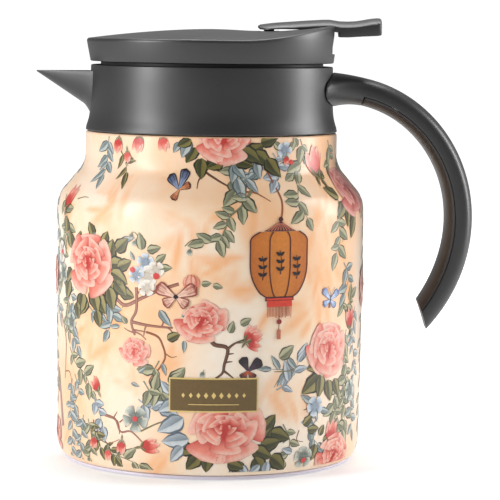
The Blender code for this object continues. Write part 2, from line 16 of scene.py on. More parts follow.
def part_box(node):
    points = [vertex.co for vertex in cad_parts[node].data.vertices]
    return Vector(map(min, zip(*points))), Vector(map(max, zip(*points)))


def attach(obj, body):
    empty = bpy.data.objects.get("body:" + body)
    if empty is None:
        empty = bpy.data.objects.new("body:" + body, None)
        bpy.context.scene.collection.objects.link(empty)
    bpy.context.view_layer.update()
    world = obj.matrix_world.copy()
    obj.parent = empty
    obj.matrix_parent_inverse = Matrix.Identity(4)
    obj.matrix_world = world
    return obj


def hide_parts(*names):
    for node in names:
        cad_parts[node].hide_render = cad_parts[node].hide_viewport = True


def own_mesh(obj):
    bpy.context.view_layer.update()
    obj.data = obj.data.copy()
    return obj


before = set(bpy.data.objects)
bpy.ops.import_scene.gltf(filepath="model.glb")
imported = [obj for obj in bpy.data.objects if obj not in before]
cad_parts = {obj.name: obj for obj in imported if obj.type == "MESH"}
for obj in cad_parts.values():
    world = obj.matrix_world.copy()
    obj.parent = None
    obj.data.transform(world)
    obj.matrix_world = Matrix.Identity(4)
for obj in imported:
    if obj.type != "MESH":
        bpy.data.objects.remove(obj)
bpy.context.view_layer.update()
MM = 0.001


# %% [markdown]
# ## Measures
# Shapes are drawn in millimetres, since that is how a maker thinks of a jug.  The main measures are
# read from the solid model: the widest radius of the steel body, the height of the collar, and so on.

# %% Read the main measures
def reach(node, axis, side):
    """Lowest (side 0) or highest (side 1) coordinate of a solid part, in millimetres."""
    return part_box(node)[side][axis] / MM


BODY_R = reach("outer_shell", 0, 1)
FOOT_R = BODY_R - 0.6
NECK_R = 49.1
NECK_TOP = 127.9
COLLAR_Z = reach("collar", 2, 0)
COLLAR_TOP = reach("collar", 2, 1)
BEAK_TIP = -reach("collar", 0, 0)
LID_Z = reach("lid_cover", 2, 0)
print("body radius %.1f, beak tip at %.1f" % (BODY_R, BEAK_TIP))
print("collar from %.1f to %.1f" % (COLLAR_Z, COLLAR_TOP))


# %% [markdown]
# ## Colours
# Colours are written as the 0 to 255 numbers of a paint card.  Blender's shaders work in linear light,
# so a small helper converts them once, and every finish below uses it.

# %% Colour helper
def tone(red, green, blue):
    """A paint-card colour as linear light."""
    def linear(c):
        c = c / 255.0
        return c / 12.92 if c <= 0.04045 else ((c + 0.055) / 1.055) ** 2.4
    return (linear(red), linear(green), linear(blue))


def mixed(a, b, t):
    return tuple(p + (q - p) * t for p, q in zip(a, b))


print("cream in linear light:", tuple(round(c, 3) for c in tone(255, 238, 215)))


# %% [markdown]
# ## Finishes
# A finish is a small network of shader nodes.  All of them start from the same Principled shader, and
# then each gets what the real material shows: fine grain in moulded plastic, brushed lines in steel,
# soft clouds of colour in the printed enamel.  Object coordinates keep the grain fixed to the part.

# %% Finish helpers
def start_finish(name, roughness, metallic=0.0):
    mat = bpy.data.materials.new(name)
    mat.use_nodes = True
    shader = mat.node_tree.nodes["Principled BSDF"]
    shader.inputs["Roughness"].default_value = roughness
    shader.inputs["Metallic"].default_value = metallic
    return mat, mat.node_tree, shader


def noise_node(tree, scale, detail=3.0, distortion=0.0, stretch=(1, 1, 1)):
    """A noise pattern in object coordinates; scale is in patches per metre."""
    place = tree.nodes.new("ShaderNodeTexCoord")
    size = tree.nodes.new("ShaderNodeMapping")
    size.inputs["Scale"].default_value = stretch
    pattern = tree.nodes.new("ShaderNodeTexNoise")
    pattern.inputs["Scale"].default_value = scale
    pattern.inputs["Detail"].default_value = detail
    pattern.inputs["Distortion"].default_value = distortion
    tree.links.new(place.outputs["Object"], size.inputs["Vector"])
    tree.links.new(size.outputs["Vector"], pattern.inputs["Vector"])
    return pattern


def ramp_node(tree, source, stops):
    """A colour ramp from (position, colour) stops."""
    ramp = tree.nodes.new("ShaderNodeValToRGB")
    while len(ramp.color_ramp.elements) < len(stops):
        ramp.color_ramp.elements.new(0.5)
    for element, (position, colour) in zip(ramp.color_ramp.elements, stops):
        element.position = position
        element.color = (*colour, 1.0)
    tree.links.new(source, ramp.inputs["Fac"])
    return ramp


def add_bump(tree, shader, source, strength, distance):
    bump = tree.nodes.new("ShaderNodeBump")
    bump.inputs["Strength"].default_value = strength
    bump.inputs["Distance"].default_value = distance
    tree.links.new(source, bump.inputs["Height"])
    tree.links.new(bump.outputs["Normal"], shader.inputs["Normal"])


def vary_roughness(tree, shader, source, low, high):
    span = tree.nodes.new("ShaderNodeMapRange")
    span.inputs["To Min"].default_value = low
    span.inputs["To Max"].default_value = high
    tree.links.new(source, span.inputs["Value"])
    tree.links.new(span.outputs["Result"], shader.inputs["Roughness"])


def moulded_plastic(name, dark, light, roughness, grain=1900.0, depth=0.12, shine=0.5):
    """Moulded plastic: nearly even colour, spark-eroded grain and slightly uneven gloss."""
    mat, tree, shader = start_finish(name, roughness)
    shader.inputs["Specular IOR Level"].default_value = shine
    clouds = noise_node(tree, 42.0, 4.0)
    ramp = ramp_node(tree, clouds.outputs["Fac"], [(0.35, dark), (0.7, light)])
    tree.links.new(ramp.outputs["Color"], shader.inputs["Base Color"])
    vary_roughness(tree, shader, clouds.outputs["Fac"], roughness - 0.05, roughness + 0.07)
    add_bump(tree, shader, noise_node(tree, grain, 2.0).outputs["Fac"], depth, 0.00006)
    return mat


def brushed_steel(name, colour, roughness, stretch=(1, 1, 60)):
    """Turned or drawn steel: fine lines that run one way."""
    mat, tree, shader = start_finish(name, roughness, 1.0)
    lines = noise_node(tree, 90.0, 5.0, 0.0, stretch)
    ramp = ramp_node(tree, lines.outputs["Fac"], [(0.3, mixed(colour, (0, 0, 0), 0.18)), (0.75, colour)])
    tree.links.new(ramp.outputs["Color"], shader.inputs["Base Color"])
    vary_roughness(tree, shader, lines.outputs["Fac"], roughness - 0.08, roughness + 0.12)
    add_bump(tree, shader, lines.outputs["Fac"], 0.1, 0.00003)
    return mat


def soft_silicone(name, colour, roughness=0.5):
    """Cast silicone: milky, with a little light scattered under the skin and a faint dust bloom."""
    mat, tree, shader = start_finish(name, roughness)
    clouds = noise_node(tree, 160.0, 4.0)
    ramp = ramp_node(tree, clouds.outputs["Fac"], [(0.3, mixed(colour, (0, 0, 0), 0.08)), (0.7, colour)])
    tree.links.new(ramp.outputs["Color"], shader.inputs["Base Color"])
    vary_roughness(tree, shader, clouds.outputs["Fac"], roughness - 0.08, roughness + 0.1)
    shader.inputs["Subsurface Weight"].default_value = 0.12
    shader.inputs["Subsurface Radius"].default_value = (0.002, 0.0018, 0.0016)
    add_bump(tree, shader, noise_node(tree, 900.0, 2.0).outputs["Fac"], 0.08, 0.00005)
    return mat


# %% Make the plain finishes
BLACK = moulded_plastic("black moulded plastic", tone(17, 17, 18), tone(24, 23, 24), 0.41, 1500.0, 0.25, 1.0)
DARK = moulded_plastic("dark lid plastic", tone(44, 44, 46), tone(52, 52, 54), 0.5)
SLEEVE = moulded_plastic("sleeve plastic", tone(70, 70, 73), tone(80, 80, 82), 0.5)
PALE = moulded_plastic("pale base plastic", tone(222, 216, 232), tone(232, 228, 240), 0.42, 1500.0, 0.06)
FOAM = moulded_plastic("lid foam", tone(228, 227, 222), tone(240, 240, 236), 0.85, 700.0, 0.8)
STEEL = brushed_steel("drawn stainless steel", tone(196, 196, 198), 0.27)
SCREW = brushed_steel("screw steel", tone(178, 178, 180), 0.34, (30, 1, 1))
GETTER = brushed_steel("sintered getter", tone(98, 98, 100), 0.6, (1, 1, 1))
SILICONE = soft_silicone("milky silicone", tone(222, 224, 224))
PAD = soft_silicone("grey base rubber", tone(150, 150, 154), 0.66)
print("plain finishes:", [m.name for m in (BLACK, DARK, SLEEVE, PALE, FOAM, STEEL, SILICONE, PAD)])


# %% [markdown]
# ## Turning shapes on a lathe
# Most of the jug is round, so most parts are an outline swept round the axis.  A Screw modifier would
# do it as well, but building the rings ourselves lets every corner be softened first: no moulded or
# drawn edge is perfectly sharp, and it is the soft corner that catches the light.

# %% Lathe helpers
ON_AXIS = 1e-6
KEEP_STRAIGHTER_THAN = 18.0
SHARP_ANGLE = math.radians(34)


def arc(centre_r, centre_z, radius, start, end, steps):
    points = []
    for k in range(steps + 1):
        a = math.radians(start + (end - start) * k / steps)
        points.append((centre_r + radius * math.cos(a), centre_z + radius * math.sin(a)))
    return points


def softened(outline, radius, steps=3):
    """Replace each corner of a closed outline by a small curve; points on the axis stay."""
    result = []
    count = len(outline)
    for i, here in enumerate(outline):
        before = Vector(outline[i - 1])
        after = Vector(outline[(i + 1) % count])
        corner = Vector(here)
        if here[0] < ON_AXIS:
            result.append(here)
            continue
        back = before - corner
        ahead = after - corner
        turn = math.degrees(math.pi - back.angle(ahead)) if back.length and ahead.length else 0.0
        if turn < KEEP_STRAIGHTER_THAN:
            result.append(here)
            continue
        cut = min(radius, 0.4 * back.length, 0.4 * ahead.length)
        first = corner + back.normalized() * cut
        last = corner + ahead.normalized() * cut
        for k in range(steps + 1):
            t = k / steps
            result.append(tuple(first * (1 - t) ** 2 + corner * 2 * t * (1 - t) + last * t * t))
    return result


def add_turned(bm, outline, count):
    """Sweep a closed (radius, height) outline round the axis in count steps."""
    rings = []
    for r, z in outline:
        if r < ON_AXIS:
            rings.append([bm.verts.new((0.0, 0.0, z))])
            continue
        angles = [2 * math.pi * k / count for k in range(count)]
        rings.append([bm.verts.new((r * math.cos(a), r * math.sin(a), z)) for a in angles])
    for i, ring in enumerate(rings):
        after = rings[(i + 1) % len(rings)]
        if len(ring) == 1 and len(after) == 1:
            continue
        for k in range(count):
            n = (k + 1) % count
            if len(ring) == 1:
                bm.faces.new((ring[0], after[k], after[n]))
            elif len(after) == 1:
                bm.faces.new((ring[k], ring[n], after[0]))
            else:
                bm.faces.new((ring[k], ring[n], after[n], after[k]))


def shape(name, bm, finish=None):
    """Turn a bmesh drawn in millimetres into a smooth object in metres; no finish means a helper."""
    bmesh.ops.scale(bm, vec=(MM, MM, MM), verts=bm.verts)
    bmesh.ops.recalc_face_normals(bm, faces=bm.faces)
    mesh = bpy.data.meshes.new(name)
    bm.to_mesh(mesh)
    bm.free()
    thing = bpy.data.objects.new(name, mesh)
    bpy.context.scene.collection.objects.link(thing)
    if finish:
        mesh.materials.append(finish)
    mesh.shade_smooth()
    mesh.set_sharp_from_angle(angle=SHARP_ANGLE)
    return thing


def fit(thing, body, slot, *nodes):
    """Hang a piece on its body and hide the solid parts it stands for; slot is not used."""
    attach(thing, body)
    if nodes:
        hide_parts(*nodes)
    return thing


def turned(name, outline, finish, soft=0.3, count=128):
    bm = bmesh.new()
    add_turned(bm, softened(outline, soft), count)
    return shape(name, bm, finish)


def settle(thing):
    """Bake an object's modifiers into its mesh."""
    graph = bpy.context.evaluated_depsgraph_get()
    graph.update()
    mesh = bpy.data.meshes.new_from_object(thing.evaluated_get(graph))
    thing.modifiers.clear()
    thing.data = mesh
    mesh.shade_smooth()
    mesh.set_sharp_from_angle(angle=SHARP_ANGLE)


def combine(thing, tool, operation, itself=True):
    """Cut a helper out of an object, or weld it on, and leave no helper behind."""
    step = thing.modifiers.new("combine", "BOOLEAN")
    step.operation = operation
    step.solver = "EXACT"
    step.use_self = itself
    step.object = tool
    settle(thing)
    bpy.data.objects.remove(tool, do_unlink=True)


def cut_away(thing, bm):
    combine(thing, shape("cut", bm), "DIFFERENCE")


def fuse(thing, bm):
    combine(thing, shape("weld", bm), "UNION")


def soft_edges(thing, width, segments, angle):
    """Bevel the sharp edges that a cut leaves."""
    step = thing.modifiers.new("soft edges", "BEVEL")
    step.width = width * MM
    step.segments = segments
    step.limit_method = "ANGLE"
    step.angle_limit = math.radians(angle)
    step.use_clamp_overlap = True
    settle(thing)


# %% [markdown]
# ## The steel body
# The body is drawn steel: a wide drum, a rounded foot, and a shoulder of two bends joined by a slope.
# A handful of measures describe the whole outline, so it is written as arcs and straight runs.  The
# same outline gives the radius at any height, which the printed picture will need later.

# %% Body outline
FOOT_Z = 10.4
FOOT_BEND = 19.0
SHOULDER_Z = 97.8
SLOPE = 40.0
BEND_LOW = 13.0
BEND_HIGH = 10.4
DRUM_RISE = 49.6
LIP_STEP = 0.6
STEEL_WALL = 0.6


def body_outline(inset, steps):
    """Outer wall from foot to neck, moved inwards by inset."""
    a = math.radians(SLOPE)
    straight = (BODY_R - NECK_R - (BEND_LOW + BEND_HIGH) * (1 - math.cos(a))) / math.sin(a)
    neck_z = SHOULDER_Z + (BEND_LOW + BEND_HIGH) * math.sin(a) + straight * math.cos(a)
    points = arc(FOOT_R - FOOT_BEND, FOOT_Z, FOOT_BEND - inset, -24, 0, steps)
    rise = [(FOOT_R + (BODY_R - FOOT_R) * min(1.0, (z - FOOT_Z) / DRUM_RISE) - inset, z)
            for z in range(12, 97, 2)]
    points += rise if steps > 8 else rise[::14]
    points += arc(BODY_R - BEND_LOW, SHOULDER_Z, BEND_LOW - inset, 0, SLOPE, steps)
    points += arc(NECK_R + BEND_HIGH, neck_z, BEND_HIGH + inset, 180 + SLOPE, 180, steps)
    return points + [(NECK_R - inset, NECK_TOP - LIP_STEP)]


OUTER_WALL = body_outline(0.0, 14)


def body_radius(z):
    """Radius of the body's outer wall at a height."""
    for (r0, z0), (r1, z1) in zip(OUTER_WALL, OUTER_WALL[1:]):
        if z0 <= z <= z1:
            return r0 + (r1 - r0) * (z - z0) / (z1 - z0)
    return OUTER_WALL[0][0] if z < OUTER_WALL[0][1] else OUTER_WALL[-1][0]


print("radius at the foot %.2f, middle %.2f, neck %.2f" % tuple(body_radius(z) for z in (3, 80, 125)))


# %% [markdown]
# ## The printed enamel
# The ground of the print is a soft cloudy wash from cream to peach, under a thin clear coat.  Two
# noises do it: a large one for the warm and pale areas, and a small distorted one for the brush-like
# flecks inside them.  Blurred leaf shapes are mixed in from a value stored at each corner of the body's
# mesh.  The flowers are laid on afterwards as thin shapes with painted corner colours.

# %% Enamel finishes
CREAM = tone(255, 241, 222)
BUFF = tone(255, 226, 194)
PEACH = tone(254, 202, 154)
LEAF_WASH = tone(251, 180, 118)
ENAMEL_ROUGHNESS = 0.34


def lacquer(tree, shader, source):
    """The clear coat over the print: slightly uneven gloss under a thin hard layer."""
    vary_roughness(tree, shader, source, ENAMEL_ROUGHNESS - 0.04, ENAMEL_ROUGHNESS + 0.04)
    shader.inputs["Coat Weight"].default_value = 0.16
    shader.inputs["Coat Roughness"].default_value = 0.2


def enamel_ground():
    """Finish of the bare enamel: warm clouds, and the stored leaf washes laid over them."""
    mat, tree, shader = start_finish("printed enamel ground", ENAMEL_ROUGHNESS)
    wide = noise_node(tree, 17.0, 1.5, 0.4)
    fine = noise_node(tree, 95.0, 5.0, 1.6, (1, 1, 0.75))
    blend = tree.nodes.new("ShaderNodeMix")
    blend.data_type = "FLOAT"
    blend.inputs[0].default_value = 0.16
    tree.links.new(wide.outputs["Fac"], blend.inputs[2])
    tree.links.new(fine.outputs["Fac"], blend.inputs[3])
    ramp = ramp_node(tree, blend.outputs[0], [(0.36, PEACH), (0.5, BUFF), (0.62, CREAM)])
    wash = tree.nodes.new("ShaderNodeVertexColor")
    wash.layer_name = "wash"
    leafy = tree.nodes.new("ShaderNodeMix")
    leafy.data_type = "RGBA"
    leafy.inputs[7].default_value = (*LEAF_WASH, 1.0)
    tree.links.new(wash.outputs["Alpha"], leafy.inputs[0])
    tree.links.new(ramp.outputs["Color"], leafy.inputs[6])
    tree.links.new(leafy.outputs[2], shader.inputs["Base Color"])
    lacquer(tree, shader, fine.outputs["Fac"])
    add_bump(tree, shader, noise_node(tree, 420.0, 2.0).outputs["Fac"], 0.06, 0.00004)
    return mat


def enamel_paint():
    """Finish of the painted shapes: their corner colours, broken up a little like watercolour."""
    mat, tree, shader = start_finish("printed enamel picture", ENAMEL_ROUGHNESS)
    paint = tree.nodes.new("ShaderNodeVertexColor")
    paint.layer_name = "paint"
    wash = noise_node(tree, 900.0, 3.0)
    shade = ramp_node(tree, wash.outputs["Fac"], [(0.3, (0.86, 0.86, 0.86)), (0.7, (1.0, 1.0, 1.0))])
    product = tree.nodes.new("ShaderNodeMix")
    product.data_type = "RGBA"
    product.blend_type = "MULTIPLY"
    product.inputs[0].default_value = 1.0
    tree.links.new(paint.outputs["Color"], product.inputs[6])
    tree.links.new(shade.outputs["Color"], product.inputs[7])
    tree.links.new(product.outputs[2], shader.inputs["Base Color"])
    lacquer(tree, shader, wash.outputs["Fac"])
    return mat


GROUND = enamel_ground()
PAINT = enamel_paint()

# %% Make the body
FOOT_LIP_R = 55.0
FOOT_LIP_Z = 1.9
STUB_R = 44.4
STUB_TOP = 139.2
lip = [(FOOT_LIP_R, FOOT_LIP_Z), (57.0, FOOT_LIP_Z)]
stub = [(48.6, NECK_TOP), (STUB_R, NECK_TOP), (STUB_R, STUB_TOP)]
inner_stub = [(STUB_R - STEEL_WALL, STUB_TOP), (STUB_R - STEEL_WALL, NECK_TOP - STEEL_WALL),
              (NECK_R - STEEL_WALL - 0.1, NECK_TOP - STEEL_WALL)]
inner_lip = [(56.6, FOOT_LIP_Z + STEEL_WALL), (FOOT_LIP_R, FOOT_LIP_Z + STEEL_WALL)]
outline = lip + OUTER_WALL + stub + inner_stub + body_outline(STEEL_WALL, 8)[::-1][1:] + inner_lip
body = turned("printed_body", outline, GROUND, 0.25, 320)
fit(body, "jug", "printed_enamel", "outer_shell")
print("body faces:", len(body.data.polygons))

# %% [markdown]
# ## How the picture is laid on
# On the real jug the picture is a printed film shrunk onto the steel and lacquered.  Here every leaf,
# petal and twig is its own very thin shape that follows the body, a few hundredths of a millimetre
# above it, with a colour stored at each corner point.  That keeps outlines crisp from any distance and
# needs no picture file.  A place on the body is an angle from the front and a height.

# %% Print helpers
PRINT_LOW = 3.4
PRINT_HIGH = 127.5
LIFT_STEP = 0.006
LIFT_STEPS = 12
NARROWEST = 0.03
dice = random.Random(20)


class Sheet:
    """A batch of thin printed shapes that end up in one object."""

    def __init__(self):
        self.bm = bmesh.new()
        self.paint = self.bm.verts.layers.float_color.new("paint")
        self.layer = 0

    def next_lift(self, base):
        """Successive shapes lie a little higher, so that none fight for the same depth."""
        self.layer = (self.layer + 1) % LIFT_STEPS
        return base + LIFT_STEP * self.layer

    def point(self, angle, height, lift, colour):
        """A corner at an angle from the front and a height, lift above the body, with its colour."""
        height = min(max(height, PRINT_LOW), PRINT_HIGH)
        r = body_radius(height) + lift
        a = math.radians(angle)
        v = self.bm.verts.new((r * math.sin(a), -r * math.cos(a), height))
        v[self.paint] = (*colour, 1.0)
        return v

    def finish(self, name):
        """Turn the batch into one object that faces outwards and rides on the jug."""
        bmesh.ops.dissolve_degenerate(self.bm, dist=0.0005, edges=self.bm.edges)
        loose = [v for v in self.bm.verts if not v.link_faces]
        bmesh.ops.delete(self.bm, geom=loose, context="VERTS")
        for face in self.bm.faces:
            middle = face.calc_center_median()
            if face.normal.dot(Vector((middle.x, middle.y, 0))) < 0:
                face.normal_flip()
        bmesh.ops.scale(self.bm, vec=(MM, MM, MM), verts=self.bm.verts)
        mesh = bpy.data.meshes.new(name)
        self.bm.to_mesh(mesh)
        self.bm.free()
        thing = bpy.data.objects.new(name, mesh)
        bpy.context.scene.collection.objects.link(thing)
        mesh.materials.append(PAINT)
        mesh.shade_smooth()
        fit(thing, "jug", "printed_enamel")
        print(name, "faces:", len(mesh.polygons))


ACROSS = (-1.0, -0.8, -0.7, -0.4, -0.08, 0.0, 0.08, 0.4, 0.7, 0.8, 1.0)
MANY_ACROSS = tuple(k / 14 for k in range(-14, 15))


def patch(sheet, at, start, heading, length, half, colour, bend, lift, rows, squash=1.0, across=ACROSS):
    """A leaf-like shape: heading 0 points up, 90 to the right; half(t) is its half width along it."""
    h = math.radians(heading)
    size = body_radius(at[1])
    lift = sheet.next_lift(lift)
    before = None
    for i in range(rows + 1):
        t = i / rows
        row = []
        for u in across:
            p = length * t
            q = bend * length * t * t + u * max(NARROWEST, half(t))
            s = start[0] + p * math.sin(h) + q * math.cos(h)
            z = start[1] + p * math.cos(h) - q * math.sin(h)
            row.append(sheet.point(at[0] + math.degrees(s / size), at[1] + z * squash, lift, colour(t, u)))
        if before:
            for k in range(len(row) - 1):
                sheet.bm.faces.new((before[k], before[k + 1], row[k + 1], row[k]))
        before = row


def smooth_line(points, step=1.0):
    """Points along a soft curve through the given (angle, height) places."""
    ends = [points[0]] + list(points) + [points[-1]]
    line = []
    for i in range(1, len(ends) - 2):
        a, b, c, d = [Vector(ends[i + k]) for k in (-1, 0, 1, 2)]
        count = max(2, int((c - b).length / step) + 1)
        for k in range(count):
            t = k / count
            line.append(0.5 * (2 * b + (c - a) * t + (2 * a - 5 * b + 4 * c - d) * t * t
                               + (3 * b - a - 3 * c + d) * t * t * t))
    line.append(Vector(points[-1]))
    return line


def stroke(sheet, points, width, dark, light, lift=0.03, taper=0.35):
    """A twig: a ribbon that thins towards its end, dark at its edges and lighter in the middle."""
    line = smooth_line(points)
    lift = sheet.next_lift(lift)
    before = None
    for i, here in enumerate(line):
        ahead = line[min(i + 1, len(line) - 1)] - line[max(i - 1, 0)]
        size = math.radians(body_radius(here[1]))
        ahead = Vector((ahead[0] * size, ahead[1])).normalized()
        half = 0.5 * width * (1 - (1 - taper) * i / (len(line) - 1))
        row = []
        for u, colour in ((-1, dark), (-0.3, light), (1, dark)):
            angle = here[0] - ahead[1] * u * half / size
            row.append(sheet.point(angle, here[1] + ahead[0] * u * half, lift, colour))
        if before:
            for k in (0, 1):
                sheet.bm.faces.new((before[k], before[k + 1], row[k + 1], row[k]))
        before = row


# %% Leaves
OLIVE = (tone(176, 162, 104), tone(104, 100, 60), tone(44, 44, 32))
DEEP_OLIVE = (tone(132, 122, 62), tone(78, 80, 42), tone(38, 38, 26))
SAGE = (tone(206, 200, 162), tone(150, 152, 122), tone(72, 76, 58))
BLUE_GREY = (tone(204, 210, 204), tone(150, 164, 164), tone(74, 88, 92))
SKY_LEAF = (tone(218, 224, 226), tone(178, 190, 198), tone(92, 106, 118))


def leaf(sheet, at, heading, length, colours, wide=0.27, bend=0.0, lift=0.05):
    """A pointed leaf with a dark rim and midrib, faint side veins, a light half and a shaded half."""
    light, mid, dark = colours
    shade = dice.uniform(0.0, 0.3)
    phase = dice.uniform(0, 6)

    def half(t):
        if not 0 < t < 1:
            return 0.0
        ragged = 1 + 0.06 * math.sin(16 * t + phase)
        return wide * length * math.sin(math.pi * t ** 0.76) ** 0.8 * (1 - 0.2 * t) * ragged

    def colour(t, u):
        if abs(u) > 0.77:
            return dark
        if abs(u) < 0.05:
            return mixed(dark, mid, 0.2 + 0.3 * t)
        side = mixed(light, mid, shade + 0.2 * t) if u < 0 else mixed(mid, dark, 0.15 + 0.35 * (1 - t))
        if abs(u) > 0.6:
            return mixed(side, light, 0.25)
        if abs(u) < 0.2:
            return mixed(side, dark, 0.35 * (1 - t))
        return side

    patch(sheet, at, (0, 0), heading, length, half, colour, bend, lift, 12)


def sprig(sheet, points, leaf_size, colours, every=3.2, wood=None, wide=0.27):
    """A twig with leaves on both sides and one at the tip."""
    dark, light = wood or (mixed(colours[2], colours[1], 0.4), colours[1])
    stroke(sheet, points, 0.55, dark, light)
    line = smooth_line(points, 1.2 * every)
    for i, here in enumerate(line[1:], 1):
        ahead = here - line[i - 1]
        heading = math.degrees(math.atan2(ahead[0] * math.radians(body_radius(here[1])), ahead[1]))
        side = 1 if i % 2 else -1
        turn = dice.uniform(38, 66) * side if i < len(line) - 1 else 0.0
        leaf(sheet, here, heading + turn, leaf_size * dice.uniform(1.05, 1.75), colours, wide,
             dice.uniform(-0.15, 0.15))
        if i % 3 == 1:
            leaf(sheet, here, heading - turn, leaf_size * dice.uniform(0.8, 1.4), colours, wide,
                 dice.uniform(-0.15, 0.15))


# %% [markdown]
# Flowers are rings of petals.  Each ring is a little higher and darker towards the middle, which is
# how a rose is painted: pale turned edges outside, a deep folded heart inside.

# %% Flowers
ROSE = (tone(255, 208, 188), tone(251, 152, 132), tone(206, 60, 52))
SOFT_ROSE = (tone(255, 208, 190), tone(252, 164, 146), tone(226, 90, 78))
DUSK_ROSE = (tone(238, 178, 164), tone(220, 128, 118), tone(176, 72, 70))
PETAL_WAVE = 0.05
RING_LIFT = 0.07


def round_half(width, wave=0.0):
    """Half width of a round petal: narrow at its foot, broadest near the tip."""
    def half(t):
        if not 0 < t < 1:
            return 0.0
        broad = math.sin(math.pi * (0.5 * t ** 1.25 + 0.5 * t ** 6)) ** 0.7
        return width * broad * (1 + wave * math.sin(9 * t))
    return half


def petal(sheet, at, start, heading, length, half, colours, lift, squash=1.0, depth=0.0):
    """A petal: deep at its foot and on its shaded side, pale at its tip and on its lit side."""
    pale, mid, deep = colours
    tint = dice.uniform(-0.08, 0.08)
    streak = dice.uniform(0, 6)

    def colour(t, u):
        if t < 0.78:
            base = mixed(deep, mid, max(0.0, min(1.0, (t - 0.44) / 0.3)))
        else:
            base = mixed(mid, pale, min(1.0, (t - 0.78) / 0.14))
        shaded = 0.5 * max(0.0, u - 0.15) + 0.08 * math.sin(11 * u + streak)
        base = mixed(base, deep, max(0.0, depth + tint + shaded))
        if t > 0.98 or u > 0.95:
            return mixed(base, deep, 0.5)
        return mixed(base, pale, 0.7) if u < -0.65 and t > 0.5 else base

    patch(sheet, at, start, heading, length, half, colour, dice.uniform(-0.1, 0.1), lift, 14, squash)


def rose(sheet, at, radius, colours, squash, lift, turn):
    """Petal rings round a heart that sits above the middle, so the flower seems to look up a little."""
    raised = 0.2 * radius
    rings = ((5, 1.1, 0.6, 0.0), (5, 0.86, 0.48, 0.02), (5, 0.64, 0.36, 0.04), (4, 0.46, 0.27, 0.08),
             (3, 0.3, 0.18, 0.15), (2, 0.16, 0.1, 0.3))
    for ring, (count, reach_out, wide, deepen) in enumerate(rings):
        for k in range(count):
            heading = turn + 360.0 * (k + 0.5 * (ring % 2)) / count + dice.uniform(-12, 12)
            down = 0.5 - 0.5 * math.cos(math.radians(heading))
            stretch = 0.82 + 0.42 * down if ring < 4 else 1.0
            length = radius * reach_out * stretch * dice.uniform(0.92, 1.06)
            half = round_half(radius * wide * dice.uniform(0.9, 1.1), PETAL_WAVE)
            petal(sheet, at, (0.0, raised), heading, length, half, colours, lift + RING_LIFT * ring, squash,
                  deepen)


def bud(sheet, at, heading, size, colours, green, lift):
    """A closed flower: slim outer petals, a middle one, and sepals at its foot."""
    def slim(t):
        return 0.2 * size * math.sin(math.pi * t ** 0.85) ** 0.75 if 0 < t < 1 else 0.0

    for turn, reach_out in ((-17, 0.9), (17, 0.94), (0, 1.0)):
        petal(sheet, at, (0, 0), heading + turn, size * reach_out, slim, colours, lift, 1.0, 0.05)
    for turn in (-50, 40, 180):
        leaf(sheet, at, heading + turn, 0.36 * size, green, 0.18, 0.0, lift + 0.08)


def blossom(sheet, at, radius, colours, heart, lift=0.2, petals=5):
    """An open flower of five petals with a ring of small stamens."""
    turn = dice.uniform(0, 360 / petals)
    for k in range(petals):
        petal(sheet, at, (0, 0), turn + 360.0 * k / petals, radius, round_half(0.42 * radius, PETAL_WAVE),
              colours, lift, 0.95)
    stamens = petals + 1
    for k in range(stamens):
        a = math.radians(turn + 30 + 360.0 * k / stamens)
        out = 0.3 * radius
        place = (at[0] + math.degrees(out * math.sin(a) / body_radius(at[1])), at[1] + out * math.cos(a))
        patch(sheet, place, (0, -0.25), 0, 0.5, round_half(0.28), lambda t, u: heart, 0, lift + 0.1, 3)


def dot(sheet, at, size, colour, lift):
    """A small round spot."""
    patch(sheet, at, (0, -size / 2), 0, size, lambda t: size / 2 * math.sqrt(max(0.0, 1 - (2 * t - 1) ** 2)),
          lambda t, u: colour, 0, lift, 6)


# %% Butterflies
def wing(sheet, at, heading, length, width, colours, lift):
    """A wing that widens outwards, with a dark rim and dark veins."""
    inner, outer, rim = colours

    def half(t):
        return width * (0.14 + 0.96 * t ** 1.3) * math.sqrt(max(0.0, 1 - t ** 5))

    def colour(t, u):
        if abs(u) > 0.77 or t > 0.88:
            return rim
        if abs(u) < 0.05 or (abs(abs(u) - 0.4) < 0.05 and t > 0.5):
            return mixed(outer, rim, 0.7)
        return mixed(inner, outer, t)

    patch(sheet, at, (0, 0), heading, length, half, colour, 0, lift, 9)


def butterfly(sheet, at, size, tilt, colours, body_colour, lift):
    """Two fore wings, two hind wings, a body and feelers."""
    for side in (-1, 1):
        wing(sheet, at, tilt + side * 52, size, 0.34 * size, colours, lift)
        wing(sheet, at, tilt + side * 122, 0.72 * size, 0.3 * size, colours, lift + 0.02)
    h = math.radians(tilt)
    size_deg = body_radius(at[1]) * math.pi / 180

    def near(s, z):
        across = s * math.cos(h) + z * math.sin(h)
        up = z * math.cos(h) - s * math.sin(h)
        return (at[0] + across * size / size_deg, at[1] + up * size)

    trunk = [near(0, -0.5), near(0, 0.3)]
    stroke(sheet, trunk, 0.14 * size, body_colour, body_colour, lift + 0.1, 0.8)
    for side in (-1, 1):
        feeler = [near(0, 0.3), near(side * 0.18, 0.6), near(side * 0.34, 0.8)]
        stroke(sheet, feeler, 0.22, body_colour, body_colour, lift + 0.1, 0.6)


# %% [markdown]
# ## Composing the picture
# The picture is printed twice round the jug, so every painting function takes a turn in degrees and
# adds it to its places.  It is composed in the order a painter would: soft washes, then wood and
# vines, then leaves, flowers, and last the small creatures, the lantern and the blank name plate.

